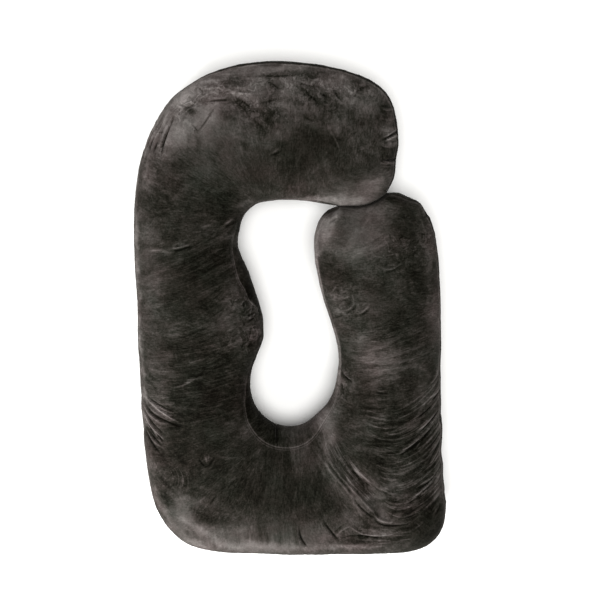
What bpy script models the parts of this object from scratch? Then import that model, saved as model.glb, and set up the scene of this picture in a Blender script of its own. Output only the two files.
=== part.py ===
"""A J-shaped body pillow of dark plush, lying on its back.

Two face panels and a side strip are sewn into one cover and filled, so the pillow
is one closed, crowned solid. The long arm runs up the left, hooks over the top and
comes down on the end of the short arm.

The cover is laid out in millimetres, X from the left edge, Y from the bottom edge
and Z up from the surface that the pillow lies on. The finished mesh is in metres,
with its origin on that surface, under the middle of the pillow's bounding box.
"""

import math

import bmesh
import bpy
import numpy as np
from mathutils import Matrix, Vector

MM = 0.001

# Heights above the surface
FRONT_SEAM = 148
BACK_SEAM = 42
THICKNESS = 190

# How far in from its seam the front panel is full, and the back panel lies flat
FRONT_REACH = 165
BACK_REACH = 82
CROWN_EDGE = 2.2
CROWN_FULLNESS = 0.8

# The side strip stands out past its seams, and less where the two ends press together
STRIP_BULGE = 23
CONTACT_BULGE = 12
CONTACT_FADE = 55
STRIP_ROWS = 4

# Mesh steps across a panel, how evenly they are spread, steps between the points of
# an end's outline, and ribs over which a rounded end straightens out
ACROSS = 18
EVEN_SHARE = 0.6
END_STEPS = 6
END_RIBS = 9

# Points closer than this are one point
MERGE = 0.01

# One row for each rib across the pillow, from the hook's end round to the short
# arm's end: where the side strip stands furthest out on the inner and on the outer
# edge, and the mesh steps from there to the next rib
RIBS = (
    # inner_x, inner_y, outer_x, outer_y, steps
    (697, 1083, 692, 1280, 2),
    (682, 1057, 668, 1314, 2),
    (655, 1036, 634, 1339, 2),
    (616, 1021, 585, 1360, 3),
    (546, 1019, 514, 1377, 3),
    (478, 1029, 450, 1386, 3),
    (423, 1033, 378, 1388, 3),
    (370, 1029, 307, 1382, 3),
    (333, 1020, 236, 1365, 3),
    (309, 998, 170, 1335, 3),
    (293, 972, 113, 1289, 3),
    (284, 941, 70, 1227, 3),
    (283, 909, 38, 1163, 3),
    (293, 879, 18, 1092, 3),
    (309, 843, 8, 1019, 3),
    (327, 788, 4, 938, 3),
    (344, 732, 3, 849, 3),
    (351, 690, 4, 760, 3),
    (347, 647, 4, 676, 3),
    (330, 601, 4, 604, 3),
    (314, 558, 4, 538, 3),
    (310, 517, 4, 473, 3),
    (317, 473, 5, 399, 3),
    (332, 441, 8, 324, 3),
    (354, 417, 17, 232, 3),
    (379, 400, 38, 144, 3),
    (405, 393, 77, 82, 3),
    (430, 392, 132, 38, 3),
    (457, 400, 216, 16, 3),
    (482, 417, 333, 11, 3),
    (506, 440, 450, 8, 3),
    (526, 466, 582, 9, 3),
    (542, 499, 700, 12, 4),
    (553, 541, 773, 20, 4),
    (557, 587, 828, 43, 4),
    (554, 633, 861, 86, 4),
    (545, 671, 872, 148, 4),
    (532, 710, 865, 225, 4),
    (519, 746, 857, 309, 4),
    (508, 784, 851, 405, 4),
    (498, 827, 845, 517, 3),
    (490, 865, 841, 633, 3),
    (487, 898, 837, 732, 3),
    (487, 925, 832, 816, 3),
    (491, 952, 826, 876, 2),
    (500, 976, 817, 930, 2),
    (512, 994, 803, 977, 0),
)

# The outline of each end, from the inner edge to the outer edge
HOOK_END = ((705, 1124), (709, 1183), (704, 1239))
ARM_END = (
    (526, 1007),
    (550, 1014),
    (590, 1015),
    (624, 1019),
    (656, 1031),
    (680, 1049),
    (697, 1057),
    (717, 1052),
    (740, 1039),
    (762, 1024),
    (784, 1004),
)

# Where the hook's edge lies against the short arm's end
CONTACT = ((556, 1018), (616, 1018), (652, 1032), (678, 1052))

# The main creases of the front panel, each a soft trough along a bow through three
# points, with a low lip on both sides
FOLDS = (
    # start_x, start_y, middle_x, middle_y, end_x, end_y, width, depth
    (846, 452, 780, 396, 700, 350, 18, 6.0),
    (850, 340, 796, 284, 726, 236, 18, 6.0),
    (862, 222, 812, 176, 752, 132, 18, 6.0),
    (575, 352, 630, 262, 690, 168, 18, 7.0),
    (500, 330, 545, 238, 618, 158, 20, 4.5),
    (14, 512, 74, 470, 138, 420, 18, 6.0),
    (16, 420, 60, 376, 112, 336, 18, 4.5),
    (66, 1150, 104, 1218, 170, 1272, 18, 5.0),
    (225, 1296, 290, 1276, 356, 1236, 20, 4.5),
    (40, 902, 120, 906, 206, 930, 20, 4.0),
    (196, 962, 250, 972, 302, 1010, 18, 4.5),
    (280, 664, 318, 674, 350, 694, 18, 5.0),
    (628, 1132, 668, 1137, 712, 1140, 18, 4.0),
)
FOLD_SAMPLES = 9
FOLD_FADE = 0.6
LIP_HEIGHT = 0.4
LIP_PLACE = 2.0

PLUSH_COLOUR = (0.035, 0.031, 0.030, 1.0)
PLUSH_ROUGHNESS = 0.9


def clear_scene():
    for obj in list(bpy.data.objects):
        bpy.data.objects.remove(obj)


def curve_through(points, steps, closed):
    """A smooth curve's points, steps[i] of them from points[i] up to the next one."""
    count = len(points)
    made = []
    for i in range(count if closed else count - 1):
        if closed:
            a, b, c, d = (points[(i + k) % count] for k in (-1, 0, 1, 2))
        else:
            a, b, c, d = (points[min(max(i + k, 0), count - 1)] for k in (-1, 0, 1, 2))
        before, span, after = (
            math.sqrt(max(np.linalg.norm(q - p), MERGE))
            for p, q in ((a, b), (b, c), (c, d))
        )
        leave = (b - a) / before - (c - a) / (before + span) + (c - b) / span
        arrive = (c - b) / span - (d - b) / (span + after) + (d - c) / after
        for step in range(steps[i]):
            t = step / steps[i]
            made.append(
                b * (2 * t**3 - 3 * t**2 + 1)
                + leave * span * (t**3 - 2 * t**2 + t)
                + c * (3 * t**2 - 2 * t**3)
                + arrive * span * (t**3 - t**2)
            )
    if not closed:
        made.append(points[-1])
    return np.array(made)


def shares_across():
    """Where the mesh steps fall across a panel, from 0 to 1, closer near the seams."""
    even = np.arange(ACROSS + 1) / ACROSS
    crowded = 0.5 - 0.5 * np.cos(math.pi * even)
    return EVEN_SHARE * even + (1 - EVEN_SHARE) * crowded


def at_shares(line, shares):
    """Points at these shares of a line's length."""
    lengths = np.linalg.norm(np.diff(line, axis=0), axis=1)
    along = np.concatenate([[0], np.cumsum(lengths)])
    return np.stack(
        [np.interp(shares * along[-1], along, line[:, k]) for k in (0, 1)], axis=1
    )


def outline():
    """The pillow's outline as one closed line, and the number of ribs' steps.

    It runs along the inner edge, over the short arm's end, back along the outer
    edge and down the hook's end.
    """
    rows = np.array(RIBS, float)
    inner, outer = rows[:, 0:2], rows[:, 2:4]
    steps = [row[4] for row in RIBS[:-1]]
    ribs = sum(steps)
    arm_steps = [END_STEPS] * (len(ARM_END) + 1)
    hook_steps = [END_STEPS] * (len(HOOK_END) + 1)
    line = curve_through(
        np.concatenate([inner, ARM_END, outer[::-1], HOOK_END[::-1]]),
        steps + arm_steps + steps[::-1] + hook_steps,
        closed=True,
    )
    arm_stop = ribs + sum(arm_steps)
    arm = line[ribs : arm_stop + 1]
    hook = np.concatenate([line[arm_stop + ribs :], line[:1]])
    shares = shares_across()
    sides = [
        line[:ribs],
        at_shares(arm, shares)[:-1],
        line[arm_stop : arm_stop + ribs],
        at_shares(hook, shares)[:-1],
    ]
    return np.concatenate(sides), ribs


def outward(line):
    """The unit normals of the closed outline, pointing out of the pillow."""
    along = np.roll(line, -1, axis=0) - np.roll(line, 1, axis=0)
    for _ in range(2):
        along = (np.roll(along, 1, axis=0) + 2 * along + np.roll(along, -1, axis=0)) / 4
    normal = np.stack([-along[:, 1], along[:, 0]], axis=1)
    return normal / np.linalg.norm(normal, axis=1)[:, None]


def distance_to(points, line):
    """How far each point is from a line of joined points, and how far along it."""
    best = np.full(len(points), np.inf)
    share = np.zeros(len(points))
    for i in range(len(line) - 1):
        start, run = line[i], line[i + 1] - line[i]
        t = np.clip(((points - start) @ run) / (run @ run), 0, 1)
        away = np.linalg.norm(points - start - t[:, None] * run, axis=1)
        nearer = away < best
        best[nearer] = away[nearer]
        share[nearer] = (i + t[nearer]) / (len(line) - 1)
    return best, share


def bulge_along(line):
    """How far the side strip stands out past its seams at each point of the outline."""
    away, _ = distance_to(line, np.array(CONTACT, float))
    pressed = np.exp(-((away / CONTACT_FADE) ** 2))
    return STRIP_BULGE - (STRIP_BULGE - CONTACT_BULGE) * pressed


def panel_plan(seam, ribs):
    """The panel's grid in plan, from the closed line of its seam."""
    total = len(seam)
    shares = shares_across()
    inner = seam[: ribs + 1]
    outer = seam[ribs + ACROSS : 2 * ribs + ACROSS + 1][::-1]
    straight = (
        inner[:, None] * (1 - shares)[None, :, None]
        + outer[:, None] * shares[None, :, None]
    )
    ends = (
        (0, seam[[(total - j) % total for j in range(ACROSS + 1)]]),
        (ribs, seam[ribs : ribs + ACROSS + 1]),
    )
    plan = straight.copy()
    for end, rounded in ends:
        bow = rounded - straight[end]
        for rib in range(ribs + 1):
            near = max(0.0, 1 - abs(rib - end) / END_RIBS)
            plan[rib] += bow * near * near * (3 - 2 * near)
    return plan


def crown(inset, reach):
    """The share of its full rise that a panel has this far in from its seam."""
    share = np.clip(inset / reach, 0, 1)
    return (1 - (1 - share) ** CROWN_EDGE) ** CROWN_FULLNESS


def add_panel(bm, plan, height, places, layer):
    """A panel as a grid. Its border vertices carry their place on the outline."""
    ribs = plan.shape[0] - 1
    grid = bmesh.ops.create_grid(bm, x_segments=ribs, y_segments=ACROSS, size=1)
    for vert in grid["verts"]:
        rib = round((vert.co.x + 1) / 2 * ribs)
        step = round((vert.co.y + 1) / 2 * ACROSS)
        vert[layer] = places.get((rib, step), -1)
        vert.co = Vector((*plan[rib, step], height[rib, step]))


def border(ribs):
    """Each border place of a panel's grid, and its index on the outline."""
    total = 2 * (ribs + ACROSS)
    places = {(rib, 0): rib for rib in range(ribs + 1)}
    places.update({(ribs, j): ribs + j for j in range(ACROSS + 1)})
    places.update(
        {(rib, ACROSS): 2 * ribs + ACROSS - rib for rib in range(ribs + 1)}
    )
    places.update({(0, j): (total - j) % total for j in range(ACROSS + 1)})
    return places


def add_strip(bm, line, normal, bulge, layer):
    """The side strip, extruded from the front panel's border down to the back seam."""
    edges = [edge for edge in bm.edges if edge.is_boundary]
    for row in range(1, STRIP_ROWS + 1):
        share = row / STRIP_ROWS
        height = FRONT_SEAM + (BACK_SEAM - FRONT_SEAM) * share
        drawn_in = bulge * (1 - 4 * share * (1 - share))
        made = bmesh.ops.extrude_edge_only(bm, edges=edges)["geom"]
        for vert in made:
            if isinstance(vert, bmesh.types.BMVert):
                k = vert[layer]
                x, y = line[k] - normal[k] * drawn_in[k]
                vert.co = Vector((x, y, height))
        edges = [item for item in made if isinstance(item, bmesh.types.BMEdge)]


def flatten_base(bm):
    """Joins the faces that rest on the surface into one flat face."""
    resting = [face for face in bm.faces if all(vert.co.z == 0 for vert in face.verts)]
    bmesh.ops.dissolve_faces(bm, faces=resting, use_verts=True)


def press_folds(bm):
    """Presses the main creases into all that lies above the back seam."""
    bm.normal_update()
    verts = [vert for vert in bm.verts if vert.co.z > BACK_SEAM]
    plan = np.array([vert.co.xy for vert in verts], float)
    move = np.zeros(len(verts))
    for x0, y0, x1, y1, x2, y2, width, depth in FOLDS:
        bow = np.array([[x0, y0], [x1, y1], [x2, y2]], float)
        steps = [FOLD_SAMPLES] * 2
        away, share = distance_to(plan, curve_through(bow, steps, closed=False))
        off = away / width
        lips = LIP_HEIGHT * np.exp(-((off - LIP_PLACE) ** 2))
        fade = np.clip(np.sin(math.pi * share), 0, 1) ** FOLD_FADE
        move -= depth * (np.exp(-(off**2)) - lips) * fade
    normals = [vert.normal.copy() for vert in verts]
    for vert, normal, push in zip(verts, normals, move):
        vert.co += normal * float(push)


def plush():
    material = bpy.data.materials.new("dark_plush")
    material.use_nodes = True
    shader = material.node_tree.nodes["Principled BSDF"]
    shader.inputs["Base Color"].default_value = PLUSH_COLOUR
    shader.inputs["Roughness"].default_value = PLUSH_ROUGHNESS
    shader.inputs["Metallic"].default_value = 0.0
    return material


def make_pillow():
    line, ribs = outline()
    normal = outward(line)
    bulge = bulge_along(line)
    seam = line - normal * bulge[:, None]
    plan = panel_plan(seam, ribs)
    ring = np.concatenate([seam, seam[:1]])
    inset = distance_to(plan.reshape(-1, 2), ring)[0].reshape(plan.shape[:2])
    front = FRONT_SEAM + (THICKNESS - FRONT_SEAM) * crown(inset, FRONT_REACH)
    back = BACK_SEAM - BACK_SEAM * crown(inset, BACK_REACH)

    bm = bmesh.new()
    layer = bm.verts.layers.int.new("outline")
    places = border(ribs)
    add_panel(bm, plan, front, places, layer)
    add_strip(bm, line, normal, bulge, layer)
    add_panel(bm, plan, back, places, layer)
    bmesh.ops.remove_doubles(bm, verts=bm.verts, dist=MERGE)
    flatten_base(bm)
    bmesh.ops.recalc_face_normals(bm, faces=bm.faces)
    press_folds(bm)

    corners = np.array([vert.co for vert in bm.verts], float)
    low, high = corners.min(axis=0), corners.max(axis=0)
    centre = Vector(((low[0] + high[0]) / 2, (low[1] + high[1]) / 2, low[2]))
    bmesh.ops.translate(bm, verts=bm.verts, vec=-centre)
    bmesh.ops.transform(bm, verts=bm.verts, matrix=Matrix.Scale(MM, 4))

    mesh = bpy.data.meshes.new("pillow")
    bm.to_mesh(mesh)
    bm.free()
    mesh.shade_smooth()
    pillow = bpy.data.objects.new("pillow", mesh)
    pillow.data.materials.append(plush())
    bpy.context.scene.collection.objects.link(pillow)


clear_scene()
make_pillow()
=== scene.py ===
"""Looks of a j-shaped pregnancy pillow: a filled cover of dark crushed plush that lies on its back.

Tables give places in millimetres on the pillow's pattern: x to the right of its left edge and y up from
its foot, as the pillow is seen from above with the hook at the top. Heights are millimetres above the
floor. A pair of heights says where something sets in and where it is there in full.
"""
import itertools
import math

import bmesh
import bpy
import numpy as np
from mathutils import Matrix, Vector
from mathutils.bvhtree import BVHTree
from mathutils.kdtree import KDTree


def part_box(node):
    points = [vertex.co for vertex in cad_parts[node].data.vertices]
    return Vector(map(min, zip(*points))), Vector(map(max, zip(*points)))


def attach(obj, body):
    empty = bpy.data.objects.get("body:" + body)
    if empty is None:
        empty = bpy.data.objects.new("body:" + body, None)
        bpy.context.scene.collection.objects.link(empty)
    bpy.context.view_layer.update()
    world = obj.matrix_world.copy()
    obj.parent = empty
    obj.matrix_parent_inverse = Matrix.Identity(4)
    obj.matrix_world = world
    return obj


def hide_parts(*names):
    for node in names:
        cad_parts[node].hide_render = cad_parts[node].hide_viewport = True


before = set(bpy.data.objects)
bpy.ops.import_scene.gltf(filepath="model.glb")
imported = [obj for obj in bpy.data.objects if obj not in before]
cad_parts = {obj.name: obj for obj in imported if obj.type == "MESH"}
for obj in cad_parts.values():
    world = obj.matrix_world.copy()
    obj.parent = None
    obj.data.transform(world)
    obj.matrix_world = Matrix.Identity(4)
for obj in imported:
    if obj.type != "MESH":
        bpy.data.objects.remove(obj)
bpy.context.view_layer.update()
scene = bpy.context.scene

MM = 0.001
MERGE = 1e-5                    # corners of the solid's triangles that are closer than this are one, m

# Camera and studio, in metres
SENSOR = 36                     # mm
CAMERA_REACH = 730 / 600        # focal length over the picture's width
CAMERA_TILT = 11                # degrees from straight above
CAMERA_AWAY = 2.0
CAMERA_AIM = (0.0125, 0.0625, 0.095)
SURROUND = (1.0, 0.995, 0.985, 1)
SURROUND_STRENGTH = 0.42
FLOOR_WIDTH = 14
FLOOR_DROP = 0.0004             # gap between the floor and the pillow's back
LAMP_AIM = (0, 0, 0.1)
LAMPS = (
    # name, place, width and power
    ("key", (-2.0, -2.5, 1.35), 1.5, 165),
    ("overhead", (0.1, 0.1, 3.6), 2.8, 135),
)

# The solid
PATTERN_MARGIN = (2.2, 7.9)     # from the pattern's corner to the solid's own corner
BACK_SEAM = 42                  # height of the seam between the side strip and the back panel
STRIP_MIDDLE = 95               # height at which the side strip stands out furthest
STRIP_BULGE = 23                # how far the strip stands out past the back seam
SAME_HEIGHT = 0.0002            # m

# The line along which the hook's end rests on the short arm's end
CONTACT = ((556, 1018), (616, 1018), (652, 1032), (678, 1052))
CONTACT_SHARE = 0.85            # how much of the gap there is closed by the soft filling
CONTACT_REACH = 17
CONTACT_STEP = 4
CONTACT_AREA = 140              # nothing moves that is further than this from the line's middle

# Places where the filling pushes the cover out: middle, how far out, and reach
FULLER = (
    (752, 1012, 8, 7, 23),      # corner of the short arm's end
    (870, 214, 3.5, 0, 24),     # foot of the short arm's outer edge
)
FULLER_FROM = (10, 60)
STRIP_SWELL = 1.2               # how much further than the solid the filling pushes the strip out
STRIP_SWELL_FROM = (20, 60)
STRIP_SWELL_UP_TO = (160, 130)
LUMPS = ((1.6, 95, 1), (0.9, 42, 2))    # lumps of the filling: height, distance apart and seed
LUMPS_FROM = (10, 60)

# How far in from the pillow's widest line the front seam runs, at places along that line: x, y, how far
FRONT_SEAM_COURSE = (
    # outer edge, from the foot up the long arm and round the hook
    (300, 11, 7), (60, 100, 7), (5, 300, 8), (4, 540, 8), (4, 760, 7), (4, 940, 6), (18, 1092, 5),
    (70, 1227, 5), (170, 1335, 6), (250, 1368, 9), (330, 1384, 11), (450, 1386, 12), (585, 1360, 11),
    (668, 1314, 10), (705, 1240, 9), (709, 1183, 9), (697, 1083, 8),
    # under the hook and down the long arm's inner edge
    (640, 1030, 5), (546, 1019, 5), (423, 1033, 6), (333, 1020, 6), (293, 972, 7), (283, 909, 11),
    (293, 879, 19), (309, 843, 24), (327, 788, 19), (344, 732, 7), (351, 690, 5), (347, 647, 5),
    (330, 601, 6), (314, 558, 7), (310, 517, 9), (317, 473, 17), (332, 441, 26),
    # bottom of the hollow and up the short arm's inner edge
    (354, 417, 33), (379, 400, 36), (405, 393, 36), (430, 392, 34), (457, 400, 30), (482, 417, 22),
    (506, 440, 15), (526, 466, 11), (545, 520, 8), (557, 587, 7), (545, 671, 7), (519, 746, 7),
    (498, 827, 7), (487, 900, 7), (491, 952, 8), (520, 1000, 9),
    # short arm's end, and its outer edge down to the foot
    (590, 1015, 6), (656, 1031, 7), (697, 1057, 10), (740, 1039, 10), (784, 1004, 9), (817, 930, 8),
    (832, 816, 9), (841, 633, 10), (851, 405, 10), (865, 225, 9), (861, 86, 8), (773, 20, 7),
)
COURSE_BLEND = 26               # how far apart two of those places blend into each other
COURSE_FAR = 1e-3               # how much the places further off still count
SEAM_STEP = 3
SEAM_WIDTH = 5.5
SEAM_DEPTH = 0.6
OPEN_SEAM = (6, 11)             # a seam that runs so far in lies open: it is deeper and gets a painted highlight along its ridge
OPEN_SEAM_DEPTH = 0.8           # how much deeper it is there
FAINT_SEAM_HIGHLIGHT = 0.25             # how much of that painted highlight the seam gets elsewhere
SEAM_REACH = 40                 # the plush knows how far the seam is up to here

# Gathers across the seams
GATHER_STEPS = (11, 24)         # from one gather to the next
GATHER_WIDTHS = (4.0, 6.5)
GATHER_LENGTHS = (9, 30)
GATHER_DEPTHS = (0.2, 1.3)
GATHER_ON_STRIP = 0.6           # a gather's length on the strip, over its length on the panel
GATHER_FADE = 24
# painted shade in the gathers, over how far they press in
GATHER_SHADE = 0.35

# The filling, in metres
SHRINK = 0.0075                 # the cover starts this far inside the solid
VOXEL = 0.0122
PRESSURE = 4
LAST_STEP = 20
MOST_MOVE = 0.0095              # the furthest that a point may swell
PROUD = 0.0016                  # the furthest that the filled cover stands outside the solid
SUNK = 0.0003                   # the furthest that it lies inside before it is smoothed
SMOOTHED_SUNK = 0.0012          # the furthest that it lies inside afterwards
SMOOTHING = (0.6, -0.62)        # one round of smoothing: towards the neighbours, and back out
SMOOTHING_ROUNDS = 6
FACING_DOWN = -0.995            # the cover is flat where the solid's normal is this low

# Where the cover is divided: above these heights and this near the seams
CROWN = 112
CREASED_CROWN = 118             # along the pressed creases
BACK_SEAM_FINE = 9
FRONT_SEAM_FINE = 7
DIVIDED_SMOOTHING = (2, 0.4)    # rounds and share

# Creases
CREASE_POINTS = 12
CREASE_FAR = 9.0                # the plush knows how far a crease is up to here
CREASE_FULL = 5                 # and draws it in full up to here
# those get painted shade along them as well as relief
PRESSED_DEPTH = 1.2             # creases shallower or narrower than this are left to the plush's relief
PRESSED_WIDTH = 6.5
CREASES_FROM = (50, 120)
FACING_UP = (-0.3, 0.0)         # heights of a normal between which creases set in
TROUGH = 0.45                   # half of a crease's trough, over the crease's width
SHOULDER = (1.7, 0.9, 0.4)      # its shoulder's place and width, over that half, and its height
CREASE_TAPER = 0.6
FULL_SHADE = 2.5                # the depth at which a crease's shade is full

# How creases and crinkles that are thrown differ from each other
FAMILY_SHIFT = 0.35             # over the distance between two creases of a family
FAMILY_TRIM = 0.3
FAMILY_BEND = 4
FAMILY_DEPTHS = (0.35, 1.0)
FAMILY_WIDTHS = (0.85, 1.3)
CRINKLE_TURN = 32               # degrees
CRINKLE_BEND = 3
CRINKLE_LENGTHS = (0.6, 1.3)
CRINKLE_DEPTHS = (0.4, 1.0)
TWO_OF_THREE = (1, 1, -1)       # two troughs for each ridge

# Pleats
PLEAT_MARGIN = 20
PLEAT_ROUNDS = 12               # rounds of the search for a point's place among the pleats
PLEAT_MISS = 3
PLEAT_OVERSHOOT = (-0.3, 1.3)
PLEAT_STRETCH = 105             # length of pleat over which the pattern of pleats changes
FIRST_PLEAT = (-0.03, 0.1)      # shares of the stretch over which its pleats set in, from its first pleat,
LAST_PLEAT = (1.03, 0.9)        # from its last one,
PLEAT_START = (0.0, 0.22)       # and from the two ends of each
PLEAT_END = (1.02, 0.88)

# The pile's tone and its painted light and shade
PATCH_REACH = 0.8               # how far a patch is felt, over its size
PATCH_EDGE = 1.3                # the more, the harder its edge
WANDER = ((9, 28, 11, 12), (5, 11, 13, 14))     # how far patches wander, over what distance, two seeds
MARKS_WANDER = 0.4              # how much of that the brush marks wander
MARKS_FROM = (90, 130)
MARK_SIZES = (0.6, 1.4)
MARK_WIDTHS = (0.7, 1.3)
MARK_TONES = (0.4, 1.0)
MARK_TURN = 8                   # degrees
PLAIN_STRIP = 0.7               # how much less the patches show on the strip
# the strip's painted light and shade sets in over these heights, and keeps this much of itself below them
STRIP_TONE_FROM = (55, 110)
LOW_STRIP = 0.4                 # how much of its tone the strip has below that
DARKEST = 0.48                  # the pile gets hardly darker than this, however many dark marks meet
DARK_REACH = 0.62
LIGHT_CURVE = 1.2
SEED = 5

# Where nothing is pressed in, and where the strip's painted light and shade and its own gathers set in past
# the seam
REST_FROM = (0.5, 12)
STRIP_TONE_EDGE = (1, -3)
STRIP_EDGE = (0, -5)
STRIP_GATHERS_FROM = (0, 20)

# Noise on the mesh: how many values it repeats after, and what mixes a cell's place into their numbers
BUMP_VALUES = 4096
BUMP_MIX = (73856093, 19349663, 83492791)

# Colours of the plush, from where its pile lies away from the light to where it lies towards it
PLUSH_TONES = (
    (0.0, (0.0016, 0.0013, 0.0006)),
    (0.1, (0.0052, 0.0050, 0.0033)),
    (0.22, (0.0133, 0.0123, 0.0097)),
    (0.36, (0.0300, 0.0266, 0.0237)),
    (0.52, (0.0583, 0.0515, 0.0482)),
    (0.7, (0.1022, 0.0923, 0.0885)),
    (0.88, (0.160, 0.147, 0.142)),
    (1.0, (0.208, 0.192, 0.187)),
)
ROSIER = (1.105, 0.945, 0.965, 1)
GREENER = (0.925, 1.05, 0.995, 1)
BASE_TONE = 0.336

SPINE_STEP = 6

# Middle line of the pillow, from the hook's end round to the short arm's end
SPINE = (
    (735, 1172), (694, 1181), (612, 1192), (530, 1198), (430, 1204), (338, 1206), (240, 1168), (180, 1085),
    (156, 986), (170, 860), (174, 790), (175, 661), (160, 540), (156, 470), (170, 382), (208, 290),
    (281, 222), (345, 208), (407, 206), (480, 214), (560, 240), (640, 290), (690, 380), (690, 527),
    (672, 672), (664, 770), (659, 870), (657, 986), (657, 1060),
)


def pattern_to_metres():
    """The row's x and y, in metres, of the pattern's corner."""
    low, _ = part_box("pillow")
    return np.array((low[0], low[1])) - np.array(PATTERN_MARGIN) * MM


PATTERN_CORNER = pattern_to_metres()


def in_pattern(points):
    """Points of the row, in metres, as millimetres of the pattern."""
    flat = np.array(points, float)
    flat[:, :2] -= PATTERN_CORNER
    return flat / MM


def positions(mesh):
    """The mesh's points as an array."""
    flat = np.empty(len(mesh.vertices) * 3, np.float32)
    mesh.vertices.foreach_get("co", flat)
    return flat.reshape(-1, 3).astype(float)


def normals(mesh):
    """The mesh's normals at its points as an array."""
    flat = np.empty(len(mesh.vertices) * 3, np.float32)
    mesh.vertices.foreach_get("normal", flat)
    return flat.reshape(-1, 3).astype(float)


def place(mesh, points):
    """Moves the mesh's points to those of the array."""
    mesh.vertices.foreach_set("co", points.astype(np.float32).ravel())
    mesh.update()


def edges_of(mesh):
    """The two ends of each edge as an array of point numbers."""
    flat = np.empty(len(mesh.edges) * 2, np.int32)
    mesh.edges.foreach_get("vertices", flat)
    return flat.reshape(-1, 2)


def relaxed(values, edges, rounds, share):
    """Values at the points, each moved a share of the way to the mean of its neighbours, some rounds over."""
    count = np.bincount(edges.ravel(), minlength=len(values)).astype(float)
    columns = values.reshape(len(values), -1).copy()
    for _ in range(rounds):
        for c in range(columns.shape[1]):
            near = np.bincount(edges[:, 0], columns[edges[:, 1], c], len(values))
            near += np.bincount(edges[:, 1], columns[edges[:, 0], c], len(values))
            columns[:, c] += share * (near / count - columns[:, c])
    return columns.reshape(values.shape)


def fade(value, start, end):
    """creases drawn as painted shade and bump, and a painted highlight along the seams' ridges"""
    x = np.clip((value - start) / (end - start), 0, 1)
    return x * x * (3 - 2 * x)


def bumpy(points, cell, seed):
    """Smooth noise from -1 to 1, with bumps about one cell apart."""
    table = np.random.default_rng(seed).uniform(-1, 1, BUMP_VALUES)
    scaled = points / cell
    base = np.floor(scaled).astype(np.int64)
    part = scaled - base
    part = part * part * (3 - 2 * part)
    total = np.zeros(len(points))
    for corner in itertools.product((0, 1), repeat=3):
        at = base + np.array(corner)
        a, b, c = (at * BUMP_MIX).T
        number = (a ^ b ^ c) & (BUMP_VALUES - 1)
        weight = np.prod(np.where(np.array(corner) == 1, part, 1 - part), axis=1)
        total += weight * table[number]
    return total


def smooth_line(points, step):
    """A dense line, about one step between its points, on a smooth curve through the given points."""
    given = np.array(points, float)
    ends = np.vstack((2 * given[0] - given[1], given, 2 * given[-1] - given[-2]))
    line = []
    for a, b, c, d in zip(ends, ends[1:], ends[2:], ends[3:]):
        count = max(2, int(np.linalg.norm(c - b) / step))
        t = np.linspace(0, 1, count, endpoint=False)[:, None]
        line.append(0.5 * (2 * b + (c - a) * t + (2 * a - 5 * b + 4 * c - d) * t ** 2
                           + (3 * b - a - 3 * c + d) * t ** 3))
    line.append(given[-1:])
    return np.vstack(line)


def tree_of(points):
    """A tree that finds the nearest of the points."""
    tree = KDTree(len(points))
    for number, point in enumerate(points):
        tree.insert(point, number)
    tree.balance()
    return tree


def distance_to(line, points):
    """How far each point is from a line of straight runs, how far along it, and its side: 1 is the left."""
    starts, runs = line[:-1], np.diff(line, axis=0)
    lengths = np.maximum(np.linalg.norm(runs, axis=1), 1e-9)
    before = np.concatenate(([0], np.cumsum(lengths)[:-1]))
    away = points[:, None, :] - starts[None, :, :]
    share = np.clip((away * runs[None]).sum(axis=2) / lengths ** 2, 0, 1)
    gaps = np.linalg.norm(away - share[..., None] * runs[None], axis=2)
    best = gaps.argmin(axis=1)
    rows = np.arange(len(points))
    run, off = runs[best], away[rows, best]
    side = np.where(run[:, 0] * off[:, 1] < run[:, 1] * off[:, 0], -1, 1)
    return gaps[rows, best], before[best] + share[rows, best] * lengths[best], side


def make_camera():
    """Over the pillow, a little towards the hook, where the photograph was taken from."""
    data = bpy.data.cameras.new("camera")
    data.sensor_width = SENSOR
    data.lens = CAMERA_REACH * SENSOR
    camera = bpy.data.objects.new("camera", data)
    scene.collection.objects.link(camera)
    tilt = math.radians(CAMERA_TILT)
    camera.location = Vector(CAMERA_AIM) + CAMERA_AWAY * Vector((0, math.sin(tilt), math.cos(tilt)))
    camera.rotation_euler = (-tilt, 0, 0)
    scene.camera = camera


def make_lamp(name, location, width, power):
    """A round soft lamp."""
    data = bpy.data.lights.new(name, "AREA")
    data.shape = "DISK"
    data.size = width
    data.energy = power
    lamp = bpy.data.objects.new(name, data)
    scene.collection.objects.link(lamp)
    lamp.location = location
    lamp.rotation_euler = (Vector(LAMP_AIM) - Vector(location)).to_track_quat("-Z", "Y").to_euler()


def make_studio():
    """White surround, pale floor and soft lamps, the brightest beyond the pillow's foot on the left."""
    scene.view_settings.view_transform = "Standard"
    world = bpy.data.worlds.new("studio")
    scene.world = world
    world.use_nodes = True
    surround = world.node_tree.nodes["Background"]
    surround.inputs["Color"].default_value = SURROUND
    surround.inputs["Strength"].default_value = SURROUND_STRENGTH
    bpy.ops.mesh.primitive_plane_add(size=FLOOR_WIDTH, location=(0, 0, -FLOOR_DROP))
    floor = bpy.context.object
    floor.name = "floor"
    finish = Finish("floor", {"Base Color": (0.93, 0.925, 0.91, 1), "Roughness": 0.85,
                              "Specular IOR Level": 0.2})
    floor.data.materials.append(finish.material)
    for name, location, width, power in LAMPS:
        make_lamp(name, location, width, power)


class Value:
    """A shader socket that takes part in sums, each of which adds its Math node."""

    def __init__(self, finish, socket):
        self.finish, self.socket = finish, socket

    def maths(self, operation, *others):
        inputs = dict(enumerate((self,) + others))
        return self.finish.node("ShaderNodeMath", {"operation": operation}, inputs)

    def __add__(self, other):
        return self.maths("ADD", other)

    def __mul__(self, other):
        return self.maths("MULTIPLY", other)

    def __sub__(self, other):
        return self.maths("SUBTRACT", other)

    def __rsub__(self, other):
        return (self * -1) + other

    __radd__ = __add__
    __rmul__ = __mul__


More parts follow.
